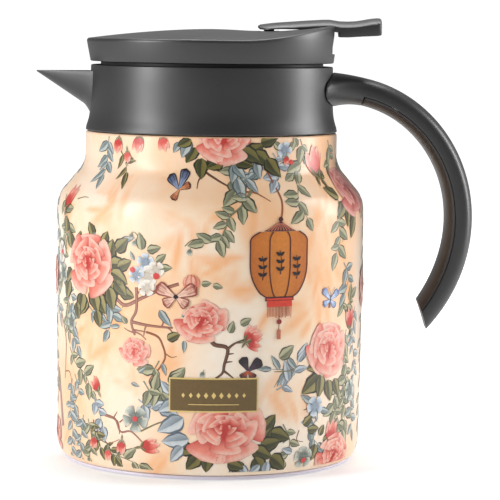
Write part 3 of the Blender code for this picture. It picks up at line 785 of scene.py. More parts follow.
# %% Washes of pale foliage
WASH_PLACES = (
    (-40, 108, 40), (-36, 104, 10), (-42, 99, 80), (-20, 112, 60), (-8, 98, 150), (-4, 92, 10),
    (-12, 88, 30), (2, 82, 80), (6, 76, 170), (-2, 80, 200), (12, 70, 100), (38, 88, 10), (42, 80, 20),
    (50, 92, 190), (56, 84, 10), (52, 76, 350), (46, 72, 10), (30, 64, 120), (36, 58, 60), (22, 60, 60),
    (-52, 52, 60), (-44, 46, 200), (-34, 60, 100), (-48, 60, 40), (-30, 36, 150), (-14, 44, 30),
    (28, 30, 160), (24, 36, 60), (-64, 14, 30), (-20, 6, 80), (36, 26, 20), (60, 70, 10), (-66, 96, 60),
    (-60, 88, 20), (18, 122, 90), (8, 100, 60), (14, 94, 330), (20, 74, 200), (44, 100, 20), (46, 62, 340))
LEAVES_PER_WASH = 3
WASH_REACH = 14
washes = []
for turn in (0.0, 180.0):
    for angle, height, heading in WASH_PLACES:
        for k in range(LEAVES_PER_WASH):
            at = turn + angle + dice.uniform(-4, 4)
            up = height + dice.uniform(-2.5, 2.5)
            lean = math.radians(heading + dice.uniform(-45, 45))
            length = dice.uniform(5, 11)
            width = dice.uniform(1.0, 2.2)
            washes.append((at, up, lean, length, width, dice.uniform(0.35, 0.9)))


def wash_amount(angle, height):
    """How much of the peach leaf wash lies at a place: a rise towards the shoulder, a band at each picture's
    right edge that is partly painted shade, and blurred leaf shapes, the strongest counts.
    """
    from_picture = (angle + 90.0) % 180.0 - 90.0
    # From 36 to 90 degrees, towards the right edge of each picture, the wash swells into a peach band: partly
    # the print's own peach, partly painted shade of the darker right edge.
    side_peach_and_shade = max(0.0, min(1.0, (from_picture - 36) / 30)) * min(1.0, (90 - from_picture) / 22)
    to_shoulder = max(0.0, min(1.0, (height - 92) / 26))
    most = 0.3 * to_shoulder + 0.34 * side_peach_and_shade
    for at, up, lean, length, width, strength in washes:
        z = height - up
        s = math.radians((angle - at + 180) % 360 - 180) * BODY_R
        if max(abs(s), abs(z)) > WASH_REACH:
            continue
        along = (s * math.sin(lean) + z * math.cos(lean)) / length
        if abs(along) >= 1.3:
            continue
        across = (s * math.cos(lean) - z * math.sin(lean)) / (width * (1.3 - 0.9 * abs(along)) + 0.3)
        most = max(most, strength * math.exp(-2.2 * along ** 4 - 1.1 * across ** 2))
    return most


wash_layer = body.data.color_attributes.new("wash", "FLOAT_COLOR", "POINT")
for v, mark in zip(body.data.vertices, wash_layer.data):
    amount = wash_amount(math.degrees(math.atan2(v.co.x, -v.co.y)), v.co.z / MM)
    mark.color = (amount, amount, amount, amount)
print("washes painted:", len(washes))


# %% Wood and vines
BARK = (tone(104, 58, 44), tone(196, 132, 110))
DARK_BARK = (tone(70, 44, 34), tone(128, 86, 62))
VINE = (tone(96, 92, 62), tone(150, 142, 98))
RUST = (tone(120, 62, 34), tone(178, 104, 62))


def paint_wood(turn):
    def branch(width, colours, *places, taper=0.4):
        stroke(wood_sheet, [(turn + a, z) for a, z in places], width, *colours, 0.03, taper)

    branch(1.5, BARK, (-41, 71), (-35, 67.5), (-30.5, 65), (-24, 68), (-18, 71), (-10, 74), taper=0.8)
    branch(1.3, BARK, (-26, 72), (-26, 63.5), (-28, 59), (-26.5, 54), taper=0.7)
    branch(1.3, BARK, (-28, 59), (-21, 58), (-12, 57.5), taper=0.5)
    for a, z, da, dz in (
            (-26, 69, 2, 4), (-30, 65, -2, -1), (-16, 58, 1, 5), (-14, 57.5, 2, -2), (-22, 58, -1, -4),
            (-19, 71, 3, 3), (-27, 55, -4, 1.5), (-27, 55.5, 5, -3), (-27, 56, 7, -1)):
        branch(0.7, BARK, (a, z), (a + 0.6 * da, z + 0.4 * dz), (a + da, z + dz))
    branch(0.9, RUST, (-22, 55.5), (-17.6, 54), (-15.6, 50.5), (-14.8, 46.5), (-16.7, 42.5), (-20.8, 37),
           (-17, 33), (-13, 31))
    branch(0.5, RUST, (-15, 48), (-12.5, 46.5), (-10.5, 47))
    branch(0.5, RUST, (-20.8, 37), (-15, 34.5), (-12, 34))
    branch(1.0, DARK_BARK, (-2, 119), (-1.8, 115.5), (3, 112.5), (7.9, 110), (14.6, 107.5))
    branch(0.7, DARK_BARK, (-1.8, 115), (-4, 112), (-4.4, 109))
    branch(0.7, RUST, (14.6, 108), (18.5, 107.5), (23.5, 104.5))
    branch(0.9, VINE, (17, 109), (12.2, 103), (7.6, 99), (6, 94), (3.8, 90.5), (-1, 89.5), (-5, 90.5),
           (-8, 88))
    branch(0.8, RUST, (25, 118), (27, 111), (28, 105), (27, 98.5), taper=0.9)
    branch(1.8, DARK_BARK, (1.4, 54.5), (2.8, 51.7), (7.5, 50.2), (6.4, 44), (5.8, 41), (3.4, 39))
    branch(1.1, DARK_BARK, (7.5, 50), (10, 52), (13.5, 53.5))
    branch(1.0, DARK_BARK, (6, 42), (8, 40.5), (9.8, 39))
    for a, z in ((7.2, 48), (6.7, 45)):
        branch(0.8, DARK_BARK, (a, z), (a + 2.6, z + 0.3))
    branch(0.9, RUST, (-72, 60), (-66, 50), (-66, 41), (-67, 33), taper=0.6)
    branch(0.6, RUST, (-66, 36), (-62, 36), (-60, 30))
    branch(0.8, RUST, (-46, 30), (-43, 26), (-39.7, 22.5), (-34, 21), (-33, 16))
    branch(1.1, BARK, (-40, 22.6), (-35, 21.5), (-32.5, 17), (-28, 17.5), (-23, 13.5))
    branch(0.6, RUST, (-36, 21.5), (-34, 24.5))
    branch(0.6, RUST, (-33, 20.5), (-30, 23))
    branch(0.5, RUST, (-30, 19), (-31, 21.5), (-28.5, 23))
    branch(0.6, VINE, (-24, 18), (-16, 22), (-10, 22.5), taper=0.8)
    branch(0.5, RUST, (-44, 17), (-42, 13), (-38, 12), (-33, 14))
    branch(0.7, VINE, (36, 42), (31, 41), (25, 41))
    branch(0.5, VINE, (31, 41), (27, 38), (25, 35))
    branch(0.8, RUST, (42, 30), (40, 26.5), (38, 25.5))
    branch(0.6, VINE, (57, 107), (56, 100), (57, 94), (58, 88))
    branch(0.5, RUST, (36, 18), (35, 14.5), (38, 13.5))
    branch(2.2, (tone(150, 96, 88), tone(176, 124, 112)), (-76, 36), (-73, 26), (-70, 14), taper=1.5)
    branch(0.6, VINE, (-24.5, 90), (-24, 86))
    branch(0.5, VINE, (-24.5, 90), (-27, 92.5), (-28.5, 92))
    branch(0.5, VINE, (-40, 120), (-38, 116))
    branch(0.5, VINE, (-58, 103), (-54, 104), (-51, 104))


# %% Vines with leaves
def paint_vines(turn):
    def vine(size, colours, *places, every=3.4, wide=0.27):
        sprig(leaves, [(turn + a, z) for a, z in places], size, colours, every, None, wide)

    vine(4.6, BLUE_GREY, (-51, 127), (-52, 122), (-52, 117), (-51, 112.5), every=3.0)
    vine(4.4, SAGE, (17, 108), (12, 103), (7.6, 99), (6, 94), (3.8, 90.5), (-1, 89.5), every=4.2, wide=0.32)
    vine(4.8, SAGE, (38, 117), (38, 110), (35, 104), (38, 98), every=4.0, wide=0.32)
    vine(4.6, BLUE_GREY, (10, 114), (14, 112), (17, 113), every=3.4, wide=0.34)
    vine(4.6, SAGE, (-66, 94), (-69, 86), (-68, 78), (-72, 70), every=3.4)
    vine(4.2, BLUE_GREY, (-76, 92), (-75, 80), (-76, 68), (-73, 58), every=3.0)
    vine(4.0, SAGE, (-62, 66), (-65, 60), (-63, 52), every=3.0)
    vine(3.6, BLUE_GREY, (-58, 36), (-55, 30), (-58, 24), (-54, 19), every=3.0, wide=0.36)
    vine(3.8, BLUE_GREY, (-52, 21), (-53, 15), (-54, 10), (-54, 4), every=2.7)
    vine(3.4, SKY_LEAF, (-46, 29), (-43, 24), (-41, 18), every=4.0, wide=0.4)
    vine(3.6, OLIVE, (-46, 20), (-44, 15), (-42, 10), every=3.6)
    vine(4.6, SAGE, (62, 54), (60, 46), (63, 38), (60, 30), (63, 22), (60, 12), (62, 5), every=3.3, wide=0.32)
    vine(4.2, BLUE_GREY, (70, 62), (68, 50), (71, 38), (68, 26), (70, 14), every=3.3)
    vine(4.4, SAGE, (58, 66), (60, 62), (66, 66), every=3.0)
    vine(4.4, SAGE, (66, 126), (69, 120), (66, 116), every=3.0)
    vine(5.4, BLUE_GREY, (36, 42), (31, 41.5), (24, 42), every=4.4, wide=0.2)
    vine(4.6, BLUE_GREY, (44, 29), (41, 27), (46, 25), every=2.6, wide=0.24)
    vine(4.2, OLIVE, (-43, 122), (-40, 118), (-38, 114), every=3.8, wide=0.2)
    vine(3.8, OLIVE, (-40, 13), (-37, 9.5), (-35, 7), every=3.2, wide=0.24)
    vine(4.0, BLUE_GREY, (-48, 63), (-44, 60), (-41, 62), every=3.0, wide=0.26)
    vine(4.6, SAGE, (-17, 45), (-20, 38), (-16, 33), every=5.0, wide=0.34)
    vine(5.0, SAGE, (80, 120), (84, 108), (82, 96), (86, 84), (82, 72), every=4.0, wide=0.3)
    vine(5.0, SAGE, (84, 60), (80, 48), (86, 36), (82, 22), (84, 8), every=4.0, wide=0.3)
    vine(4.6, OLIVE, (-80, 60), (-82, 46), (-78, 34), (-84, 20), every=4.0, wide=0.3)
    vine(4.6, BLUE_GREY, (-82, 118), (-84, 106), (-80, 96), every=4.0, wide=0.3)
    vine(5.0, SAGE, (-70, 104), (-65, 96), (-64, 90), every=3.2)
    vine(4.4, BLUE_GREY, (-64, 70), (-59, 63), (-60, 54), (-56, 47), every=3.4, wide=0.32)
    vine(4.2, SAGE, (-62, 46), (-57, 40), (-51, 37), (-47, 31), every=3.4, wide=0.32)
    vine(4.0, BLUE_GREY, (-60, 34), (-62, 24), (-60, 14), (-62, 5), every=3.2, wide=0.32)
    vine(4.2, SAGE, (-49, 20), (-47, 12), (-49, 5), every=3.0, wide=0.3)
    vine(4.2, SAGE, (-37, 8), (-31, 7), (-25, 5), every=3.4, wide=0.3)
    vine(4.4, BLUE_GREY, (-39, 66), (-36, 61), (-38, 55), every=3.4, wide=0.3)
    vine(5.2, SKY_LEAF, (-25, 30), (-20, 27), (-15, 29), every=3.8, wide=0.34)
    vine(5.2, SAGE, (-23, 37), (-18, 31), (-13, 36), every=3.8, wide=0.34)
    vine(5.0, SAGE, (13, 118), (9, 112), (13, 106), every=3.6, wide=0.36)
    vine(4.6, SKY_LEAF, (29, 122), (32, 117), (29, 112), every=3.6, wide=0.34)
    vine(4.8, SAGE, (44, 127), (46, 121), (42, 115), every=3.4, wide=0.34)
    vine(4.6, SAGE, (54, 98), (56, 90), (54, 84), every=3.4, wide=0.3)
    vine(4.4, BLUE_GREY, (59, 80), (63, 74), (60, 68), every=3.2, wide=0.3)
    vine(4.8, SKY_LEAF, (26, 34), (31, 37), (35, 44), every=4.0, wide=0.26)
    vine(4.6, SAGE, (57, 34), (54, 26), (58, 18), (55, 12), every=3.2, wide=0.32)
    vine(4.2, BLUE_GREY, (45, 22), (41, 17), (45, 12), every=3.2, wide=0.32)
    vine(4.2, SAGE, (29, 21), (32, 14), (30, 7), every=3.4, wide=0.34)


# %% Large leaves
def paint_leaves(turn):
    groups = (
        (DEEP_OLIVE, 0.4, (
            (-6, 124, 200, 7), (-3, 120, 190, 8), (1, 122, 160, 8), (6, 119, 240, 7), (11, 119.5, 100, 8),
            (16, 121, 60, 9), (20, 122.5, 130, 9), (23, 126, 80, 8), (26, 120, 150, 9), (14, 123, 110, 9),
            (-8, 127, 230, 6))),
        (BLUE_GREY, 0.34, (
            (12, 118.5, 190, 8), (11, 118, 150, 7), (22.5, 119, 200, 7), (21, 119, 170, 7),
            (-8.5, 127, 205, 8), (-13, 126, 200, 5))),
        (OLIVE, 0.42, (
            (-60, 84, 350, 8), (-56, 84, 30, 8), (-41, 84, 60, 9), (-38, 82, 20, 8), (-38, 80, 90, 9),
            (-37, 77, 110, 9), (-40, 74, 130, 9), (-46, 70, 170, 10), (-52, 68, 190, 10),
            (-62, 72, 200, 9), (-41, 87, 25, 6), (-44, 62, 160, 7), (-38, 71, 160, 9), (-64, 90, 350, 6),
            (-60, 76, 230, 7), (-35, 85, 50, 8), (-34, 79, 75, 7), (-35, 74, 140, 8), (-44, 68, 140, 9),
            (-50, 66, 200, 8), (-56, 64, 170, 7), (-46, 90, 340, 6), (-33, 70, 100, 7))),
        (BLUE_GREY, 0.22, (
            (-44, 84, 340, 8), (-43, 83, 320, 7), (-33, 89, 80, 7), (-27, 82, 330, 4), (-17, 64, 150, 8),
            (-9, 62, 70, 4), (-33, 57, 260, 5), (-8, 53, 170, 5), (-16, 44, 150, 5), (-25, 40, 60, 4),
            (-28, 36, 110, 4))),
        (SAGE, 0.34, (
            (-24, 86, 355, 7), (-22, 86, 80, 6), (-18.5, 82, 60, 5), (-17, 80, 100, 5), (-17, 70, 30, 4),
            (-19, 34, 20, 7), (-30, 58, 330, 4), (12, 59, 60, 5), (8, 56, 30, 5), (27, 46, 60, 8),
            (2, 73.5, 90, 4), (-2, 74, 80, 4), (33, 123.5, 300, 5), (42, 124, 340, 5), (40, 126, 200, 5))),
        (OLIVE, 0.36, (
            (-14, 53, 60, 6), (47, 42, 270, 9), (46, 38, 235, 12), (46, 38, 180, 9), (50, 36, 170, 9),
            (43, 42, 350, 6), (54, 36, 160, 8), (38, 20, 60, 6), (40, 18, 100, 6), (46, 15, 30, 5),
            (44, 12, 200, 7), (58, 105, 300, 8), (60, 103, 220, 9), (62, 101, 190, 8), (66, 99, 170, 8),
            (67, 97, 200, 9), (57, 112, 320, 7), (48, 13, 90, 6))),
        (DEEP_OLIVE, 0.4, (
            (21, 19, 50, 8), (24, 18, 100, 9), (21, 14, 20, 7), (20, 13, 80, 9), (17, 12, 110, 9),
            (18, 9, 150, 9), (24, 9, 120, 9), (12, 8, 180, 7), (8, 7, 110, 7), (1, 10, 190, 7),
            (-2, 10, 220, 8), (-4, 13, 250, 8), (17, 18, 5, 7))),
        (SKY_LEAF, 0.34, (
            (-13, 33, 320, 6), (-10, 30, 250, 9), (-8, 24, 235, 12), (-6, 16, 260, 11), (-8, 13, 230, 8),
            (11, 6, 190, 7), (13, 6, 150, 6), (23, 7, 190, 7), (20, 6, 220, 6), (33, 10, 290, 5))))
    for colours, wide, places in groups:
        for angle, height, heading, length in places:
            bend = dice.uniform(-0.2, 0.2)
            leaf(leaves, (turn + angle, height), heading, 0.95 * length, colours, wide, bend, 0.12)


# %% Roses, blossoms and buds
CREAM_PETAL = (tone(255, 252, 244), tone(250, 240, 226), tone(214, 204, 188))
BLUE_PETAL = (tone(236, 240, 244), tone(206, 218, 228), tone(150, 166, 182))
GREY_PETAL = (tone(224, 224, 210), tone(186, 192, 180), tone(120, 130, 122))
HEART_RED = tone(226, 70, 66)


def paint_flowers(turn):
    for angle, height, radius, colours, squash, tilt in (
            (7, 127, 9.5, ROSE, 0.85, 10), (-48.5, 78.5, 12.0, ROSE, 0.88, 0),
            (-1.5, 59.5, 8.5, ROSE, 0.8, 30), (-26.5, 47.5, 5.6, SOFT_ROSE, 0.85, 20),
            (7, 18.5, 13.5, ROSE, 0.74, 5), (50, 47, 10.5, SOFT_ROSE, 0.95, 15),
            (70, 106, 9.5, DUSK_ROSE, 0.9, 0), (55, 5.5, 9.5, ROSE, 0.85, 40),
            (-84, 72, 8, SOFT_ROSE, 0.9, 0), (84, 68, 8, ROSE, 0.9, 0), (-80, 10, 7, ROSE, 0.9, 0)):
        rose(flowers, (turn + angle, height), radius, colours, squash, 0.26, tilt)
    for angle, height, heading, size, colours in (
            (-66, 99, 20, 10, ROSE), (-44, 127, 190, 6.5, ROSE), (-39, 122, 175, 5, SOFT_ROSE),
            (-32, 128, 190, 7, ROSE), (-21, 128, 170, 6, SOFT_ROSE), (54, 112, 350, 13, SOFT_ROSE),
            (52, 113, 20, 11, ROSE), (65, 54, 350, 9, ROSE), (-43, 31, 330, 6.5, ROSE),
            (-45, 14, 190, 5.5, ROSE), (-32, 14, 185, 6, ROSE), (-38, 10, 190, 5, SOFT_ROSE),
            (-24, 12, 80, 8, ROSE), (13.5, 53, 70, 7.5, ROSE), (14, 52.5, 35, 7.5, SOFT_ROSE),
            (14, 52.5, 105, 6.5, ROSE), (52, 11, 10, 10, ROSE), (36, 121, 185, 4, ROSE)):
        bud(flowers, (turn + angle, height), heading, size, colours, SAGE if size < 7 else OLIVE, 0.22)
    for angle, height, radius, colours in (
            (-22.5, 81.5, 3.6, BLUE_PETAL), (-21.5, 76.5, 4.2, CREAM_PETAL),
            (-18.5, 79.0, 3.4, CREAM_PETAL), (-26.0, 76.5, 3.4, BLUE_PETAL),
            (-22.0, 72.0, 3.4, CREAM_PETAL), (-70, 82, 4.5, CREAM_PETAL), (-68, 74, 4.0, GREY_PETAL),
            (-60, 56, 3.6, GREY_PETAL), (43.3, 26.5, 4.2, BLUE_PETAL), (-26.3, 22.5, 5.4, GREY_PETAL),
            (66, 30, 4.5, GREY_PETAL), (35, 123, 3.4, BLUE_PETAL), (38.3, 7.5, 4.4, GREY_PETAL)):
        blossom(flowers, (turn + angle, height), radius, colours, mixed(colours[2], HEART_RED, 0.1))
    for angle, height, size in (
            (-27.5, 78.5, 2.2), (-18.3, 76.6, 2.5), (-26.3, 22.5, 2.1), (-69, 82, 1.8),
            (38.4, 118.4, 2.0), (38.3, 6.4, 2.2)):
        dot(flowers, (turn + angle, height), size, HEART_RED, 0.36)
    for angle, height in ((-28, 92), (-26.5, 89.5), (-6, 87), (-1, 41.5)):
        bud(flowers, (turn + angle, height), 200, 2.6, GREY_PETAL, SAGE, 0.2)
    fruit = (turn - 5.6, 74.5)
    dot(flowers, fruit, 6.2, tone(238, 150, 122), 0.3)
    dot(flowers, (fruit[0] - 0.6, 75.2), 4.2, tone(246, 184, 158), 0.34)
    for k in (-1, 0, 1):
        stroke(flowers, [(fruit[0] + k, 77.4), (fruit[0] + 1.9 * k, 74.5), (fruit[0] + 1.2 * k, 71.6)], 0.3,
               tone(214, 104, 84), tone(222, 120, 98), 0.42, 0.8)


# %% Butterflies
INK = tone(36, 26, 32)


def paint_butterflies(turn):
    dark_blue = (tone(168, 184, 214), tone(84, 98, 140), INK)
    orange = (tone(244, 170, 120), tone(222, 130, 84), tone(84, 44, 36))
    for heading, size, wide, colours in (
            (-44, 7.4, 2.6, dark_blue), (12, 7.8, 3.0, dark_blue), (64, 4.6, 2.0, orange),
            (206, 4.2, 2.0, orange)):
        wing(things, (turn - 11.3, 108.6), heading, size, wide, colours, 0.2)
    salmon = (tone(252, 214, 190), tone(250, 196, 172), tone(150, 70, 58))
    for heading, size, wide in ((-62, 8.6, 3.7), (64, 8.8, 3.7), (-122, 5.6, 3.0), (124, 5.6, 3.0)):
        wing(things, (turn - 11.0, 69.0), heading, size, wide, salmon, 0.42)
    dot(things, (turn - 11.0, 69.2), 1.7, INK, 0.6)
    pale_blue = (tone(214, 228, 250), tone(168, 196, 240), tone(84, 104, 160))
    butterfly(things, (turn + 50.3, 66.5), 6.2, 8, pale_blue, tone(70, 80, 120), 0.2)
    black = (tone(86, 66, 86), INK, INK)
    ember = (tone(226, 104, 60), tone(60, 34, 36), INK)
    for heading, size, wide, colours in (
            (-24, 5.8, 2.7, black), (52, 6.6, 3.0, black), (222, 3.8, 2.2, ember), (140, 4.0, 2.2, ember)):
        wing(things, (turn + 15.0, 41.6), heading, size, wide, colours, 0.2)


# %% [markdown]
# The lantern is built of three panels with ribs between them.  On the real jug the panels carry
# lettering and the plate below carries a name.  Both stay out; the panels get a small sprig and the
# plate a plain lozenge line, which belong to nobody.

# %% Lantern and blank plate
LANTERN_SIDE = tone(198, 106, 36)
LANTERN_MID = tone(224, 136, 52)
MAROON = tone(84, 30, 30)
LANTERN_RED = tone(226, 66, 44)
LANTERN_ANGLE = 26.6
BELLY_Z = 68.8
BELLY_TALL = 24.6
GOLD = tone(238, 208, 130)
PLATE_FIELD = tone(112, 88, 44)
PLATE_ANGLE = 2.8
PLATE_Z = 26.2
PLATE_TALL = 12.9
PLATE_HALF = 16.7
PLATE_BORDER = 0.6
LOZENGE_Z = 32.6
LINE_Z = 29.2


def even(value):
    """A width that stays the same along a patch."""
    return lambda t: value


def plain(colour):
    """A colour that stays the same all over a patch."""
    return lambda t, u: colour


def lantern_half(t):
    """Half width of the lantern's belly: quick to swell from the foot, a little drawn in on top."""
    swell = 11.9 * (0.44 + 0.56 * math.sin(math.pi / 2 * min(1.0, t / 0.5)) ** 0.6)
    return swell * (1 - max(0.0, (t - 0.86) / 0.14) ** 2 * 0.32)


def lantern_colour(t, u):
    return mixed(LANTERN_MID, LANTERN_SIDE, abs(u) ** 1.5 * 0.8 + 0.15 * (1 - t))


def paint_lantern(turn):
    middle = turn + LANTERN_ANGLE
    per_degree = math.radians(body_radius(80))
    patch(things, (middle, BELLY_Z), (0, 0), 0, BELLY_TALL, lantern_half, lantern_colour, 0, 0.16, 26, 1.0,
          MANY_ACROSS)
    for u in (-1.0, -0.36, 0.36, 1.0):
        rib = [(middle + u * lantern_half(t) / per_degree, BELLY_Z + BELLY_TALL * t)
               for t in [k / 16 for k in range(17)]]
        stroke(things, rib, 0.5, MAROON, MAROON, 0.3, 1.0)
    patch(things, (middle, 93.6), (0, 0), 0, 3.6, lambda t: 6.2 * (1 - t) ** 1.3 + 0.5, plain(MAROON), 0, 0.3,
          6, 1.0, MANY_ACROSS)
    for k in range(-4, 5):
        stroke(things, [(middle + 1.25 * k, 93.9), (middle + 0.25 * k, 96.6)], 0.45, tone(206, 120, 96),
               tone(214, 132, 104), 0.42, 0.5)
    dot(things, (middle, 98.0), 1.9, MAROON, 0.42)
    for low, high, wide, shade in ((67.6, 69.2, 5.9, MAROON), (67.9, 68.6, 5.4, LANTERN_RED),
                                   (65.4, 67.7, 5.2, LANTERN_RED)):
        patch(things, (middle, low), (0, 0), 0, high - low, even(wide), plain(shade), 0, 0.34, 3, 1.0,
              MANY_ACROSS)
    for k in range(-8, 9):
        shade = mixed(tone(160, 84, 62), tone(214, 138, 104), dice.random())
        fringe = [(middle + 0.58 * k, 65.6), (middle + 0.57 * k, 61.4 + dice.uniform(-0.4, 0.4))]
        stroke(things, fringe, 0.36, shade, shade, 0.3, 0.8)
    tassel = middle - 0.2
    stroke(things, [(tassel, 62), (tassel, 56)], 0.3, MAROON, MAROON, 0.3, 1.0)
    dot(things, (tassel, 59.8), 2.1, tone(150, 44, 44), 0.4)
    patch(things, (tassel, 53.2), (0, 0), 0, 3.6, even(0.75), plain(tone(200, 112, 84)), 0, 0.34, 3)
    for u, height in ((-0.68, 80), (0.0, 82), (0.68, 80)):
        paint_sprig(middle + u * 10.4 / per_degree, height)


def paint_sprig(foot, height):
    """The small sprig on each panel of the lantern."""
    stem = [(foot, height - 4.5), (foot + 0.5, height), (foot - 0.2, height + 4.5)]
    stroke(things, stem, 0.4, INK, INK, 0.4, 0.6)
    for k in range(3):
        for side in (-1, 1):
            leaf(things, (foot, height - 3 + 2.8 * k), side * 55, 2.2, (INK, INK, INK), 0.3, 0, 0.42)


def paint_plate(turn):
    middle = turn + PLATE_ANGLE
    for inset, shade, lift in ((0.0, GOLD, 0.36), (PLATE_BORDER, PLATE_FIELD, 0.5)):
        patch(things, (middle, PLATE_Z + inset), (0, 0), 0, PLATE_TALL - 2 * inset, even(PLATE_HALF - inset),
              plain(shade), 0, lift, 6, 1.0, MANY_ACROSS)
    for k in range(-4, 5):
        wide = 0.9 - 0.06 * abs(k)
        patch(things, (middle + 2.7 * k, LOZENGE_Z - wide * 1.4), (0, 0), 0, 2.8 * wide,
              lambda t, wide=wide: wide * (1 - abs(2 * t - 1)), plain(GOLD), 0, 0.68, 6)
    line = [(middle - 9, LINE_Z), (middle, LINE_Z), (middle + 9, LINE_Z)]
    stroke(things, line, 0.3, GOLD, GOLD, 0.68, 1.0)


# %% Print the picture twice round
for side, turn in (("front", 0.0), ("rear", 180.0)):
    wood_sheet, leaves, flowers, things = Sheet(), Sheet(), Sheet(), Sheet()
    paint_wood(turn)
    paint_vines(turn)
    paint_leaves(turn)
    paint_flowers(turn)
    paint_butterflies(turn)
    paint_lantern(turn)
    paint_plate(turn)
    wood_sheet.finish("print_branches_" + side)
    leaves.finish("print_leaves_" + side)
    flowers.finish("print_flowers_" + side)
    things.finish("print_creatures_and_lantern_" + side)

# %% [markdown]
# ## The collar and its beak
# The collar is one moulding: a waisted ring with a small open beak.  The ring is turned, the beak is
# lofted from U-shaped sections and welded on, and then the channel for the tea is cut out.  In a real
# mould the same channel is a sliding core.  Last, every sharp edge gets the small radius it has in
# plastic.

# %% Loft helpers
def add_loft(bm, rings):
    """Skin a row of rings and close both ends."""
    loops = [[bm.verts.new(p) for p in ring] for ring in rings]
    count = len(loops[0])
    for i in range(len(loops) - 1):
        for k in range(count):
            n = (k + 1) % count
            bm.faces.new((loops[i][k], loops[i][n], loops[i + 1][n], loops[i + 1][k]))
    for loop in (loops[0], loops[-1]):
        hub = bm.verts.new(sum((v.co for v in loop), Vector()) / count)
        for k in range(count):
            bm.faces.new((loop[k], loop[(k + 1) % count], hub))


def add_prism(bm, outline, half):
    """A flat (x, z) outline made thick to both sides in y."""
    sides = [[bm.verts.new((x, y, z)) for x, z in outline] for y in (-half, half)]
    for side in sides:
        bm.faces.new(side)
    for k in range(len(outline)):
        n = (k + 1) % len(outline)
        bm.faces.new((sides[0][k], sides[0][n], sides[1][n], sides[1][k]))


def add_box(bm, x, y, z, turn=0.0):
    a = math.radians(turn)
    corners = []
    for zc in z:
        for xc, yc in ((x[0], y[0]), (x[1], y[0]), (x[1], y[1]), (x[0], y[1])):
            corners.append(bm.verts.new((xc * math.cos(a) - yc * math.sin(a),
                                         xc * math.sin(a) + yc * math.cos(a), zc)))
    for face in ((0, 1, 2, 3), (4, 5, 6, 7), (0, 1, 5, 4), (1, 2, 6, 5), (2, 3, 7, 6), (3, 0, 4, 7)):
        bm.faces.new([corners[k] for k in face])


def add_rod(bm, start, end, radius, count=24):
    axis = (Vector(end) - Vector(start)).normalized()
    side = axis.orthogonal().normalized()
    up = axis.cross(side)
    add_loft(bm, [[centre + radius * (math.cos(2 * math.pi * k / count) * side
                                      + math.sin(2 * math.pi * k / count) * up) for k in range(count)]
                  for centre in (Vector(start), Vector(end))])


def steps_between(start, end, count):
    return [start + (end - start) * k / (count - 1) for k in range(count)]


# %% Collar and beak
BEAK_ROOT = 46.0
BEAK_TOP = 151.0
BEAK_HALF = 11.5
BEAK_TIP_HALF = 1.6


def beak_depth(out):
    """Depth of the keel below the top edge, with a fillet where it meets the collar."""
    fillet = min(max(0.0, 50.0 - out), 4.0)
    return 0.66 * (BEAK_TIP - out) + 0.5 + 0.45 * fillet ** 1.6


def beak_half(out):
    return BEAK_TIP_HALF + (BEAK_HALF - BEAK_TIP_HALF) * (BEAK_TIP - out) / (BEAK_TIP - BEAK_ROOT)


def beak_ring(out, half, depth, top, steps=14):
    ring = []
    for k in range(-steps, steps + 1):
        t = math.pi / 2 * (1 - abs(k) / steps)
        y = 0.0 if k == 0 else math.copysign(half * math.cos(t) ** 0.9, k)
        ring.append(Vector((-out, y, top - depth * math.sin(t) ** 0.9)))
    return ring


COLLAR_OUTSIDE = [(44.8, 128.3), (49.0, 128.3), (49.1, 128.7), (48.85, 130.0), (48.45, 131.2), (48.1, 132.4),
                  (47.85, 133.5), (47.66, 134.8), (47.52, 136.2), (47.42, 138.0), (47.3, 146.0),
                  (47.2, 153.6)]
COLLAR_INSIDE = [(44.6, 153.6), (44.6, 144.4), (43.7, 144.4), (43.7, 143.6), (44.8, 143.5)]
bm = bmesh.new()
add_turned(bm, softened(COLLAR_OUTSIDE + COLLAR_INSIDE, 0.45, 4), 192)
collar = shape("collar_fine", bm, BLACK)
bm = bmesh.new()
add_loft(bm, [beak_ring(s, beak_half(s), beak_depth(s), BEAK_TOP)
              for s in steps_between(45.6, 52.0, 12) + steps_between(54.0, BEAK_TIP, 12)])
fuse(collar, bm)
bm = bmesh.new()
channel_rings = []
for s in steps_between(42.0, BEAK_TIP + 1.0, 22):
    floor_depth = min(BEAK_TOP - 144.8, max(0.7, beak_depth(s) - 1.6))
    ring = beak_ring(s, max(0.5, beak_half(s) - 1.3), floor_depth, BEAK_TOP)
    lift = 1.0 if s > 48.0 else -1.0
    channel_rings.append([p + Vector((0, 0, lift)) if abs(p.z - BEAK_TOP) < 1e-6 else p for p in ring])
add_loft(bm, channel_rings)
cut_away(collar, bm)
soft_edges(collar, 0.22, 2, 40.0)
fit(collar, "jug", "black_plastic", "collar")
print("collar faces:", len(collar.data.polygons))


# %% [markdown]
# ## The handle
# The handle is a thick arc open at the bottom.  It is moulded in two halves: an outer shell with a
# round back, and an inner strip that closes it towards the jug.  Both follow the same bent line, so
# one function places every point by its angle along the arc, its distance outwards, and its distance
# across.

# %% Handle line
GRIP_X = 45.6
GRIP_Z = 95.6
GRIP_END = -45.4
GRIP_SPLIT = -1.6


def grip_point(angle, n, w):
    t = angle / 90.0
    late = min(1.0, max(0.0, (-20.0 - angle) / (-20.0 - GRIP_END)))
    a = math.radians(angle - 2.8 * late * n / 5.4)
    r = 51.5 - 1.3 * t + 4.4 * t ** 2 - 5.6 * t ** 3 + n
    return Vector((GRIP_X + r * math.cos(a), w, GRIP_Z + r * math.sin(a)))


def flare(angle):
    return min(1.2, max(0.0, (angle - 72.0) / 16.0)) ** 2


def root_ring(angle, steps=60):
    """Whole rounded section, used where the handle swells into the collar."""
    wide = flare(angle)
    power = 2.0 / (2.9 - 0.8 * min(1.0, wide))
    ring = []
    for k in range(steps):
        a = 2 * math.pi * (k + 0.5) / steps
        n = (5.4 + 1.3 * wide) * math.copysign(abs(math.cos(a)) ** power, math.cos(a))
        w = (11.0 + 5.3 * wide) * math.copysign(abs(math.sin(a)) ** power, math.sin(a))
        ring.append(grip_point(angle, n, w))
    return ring


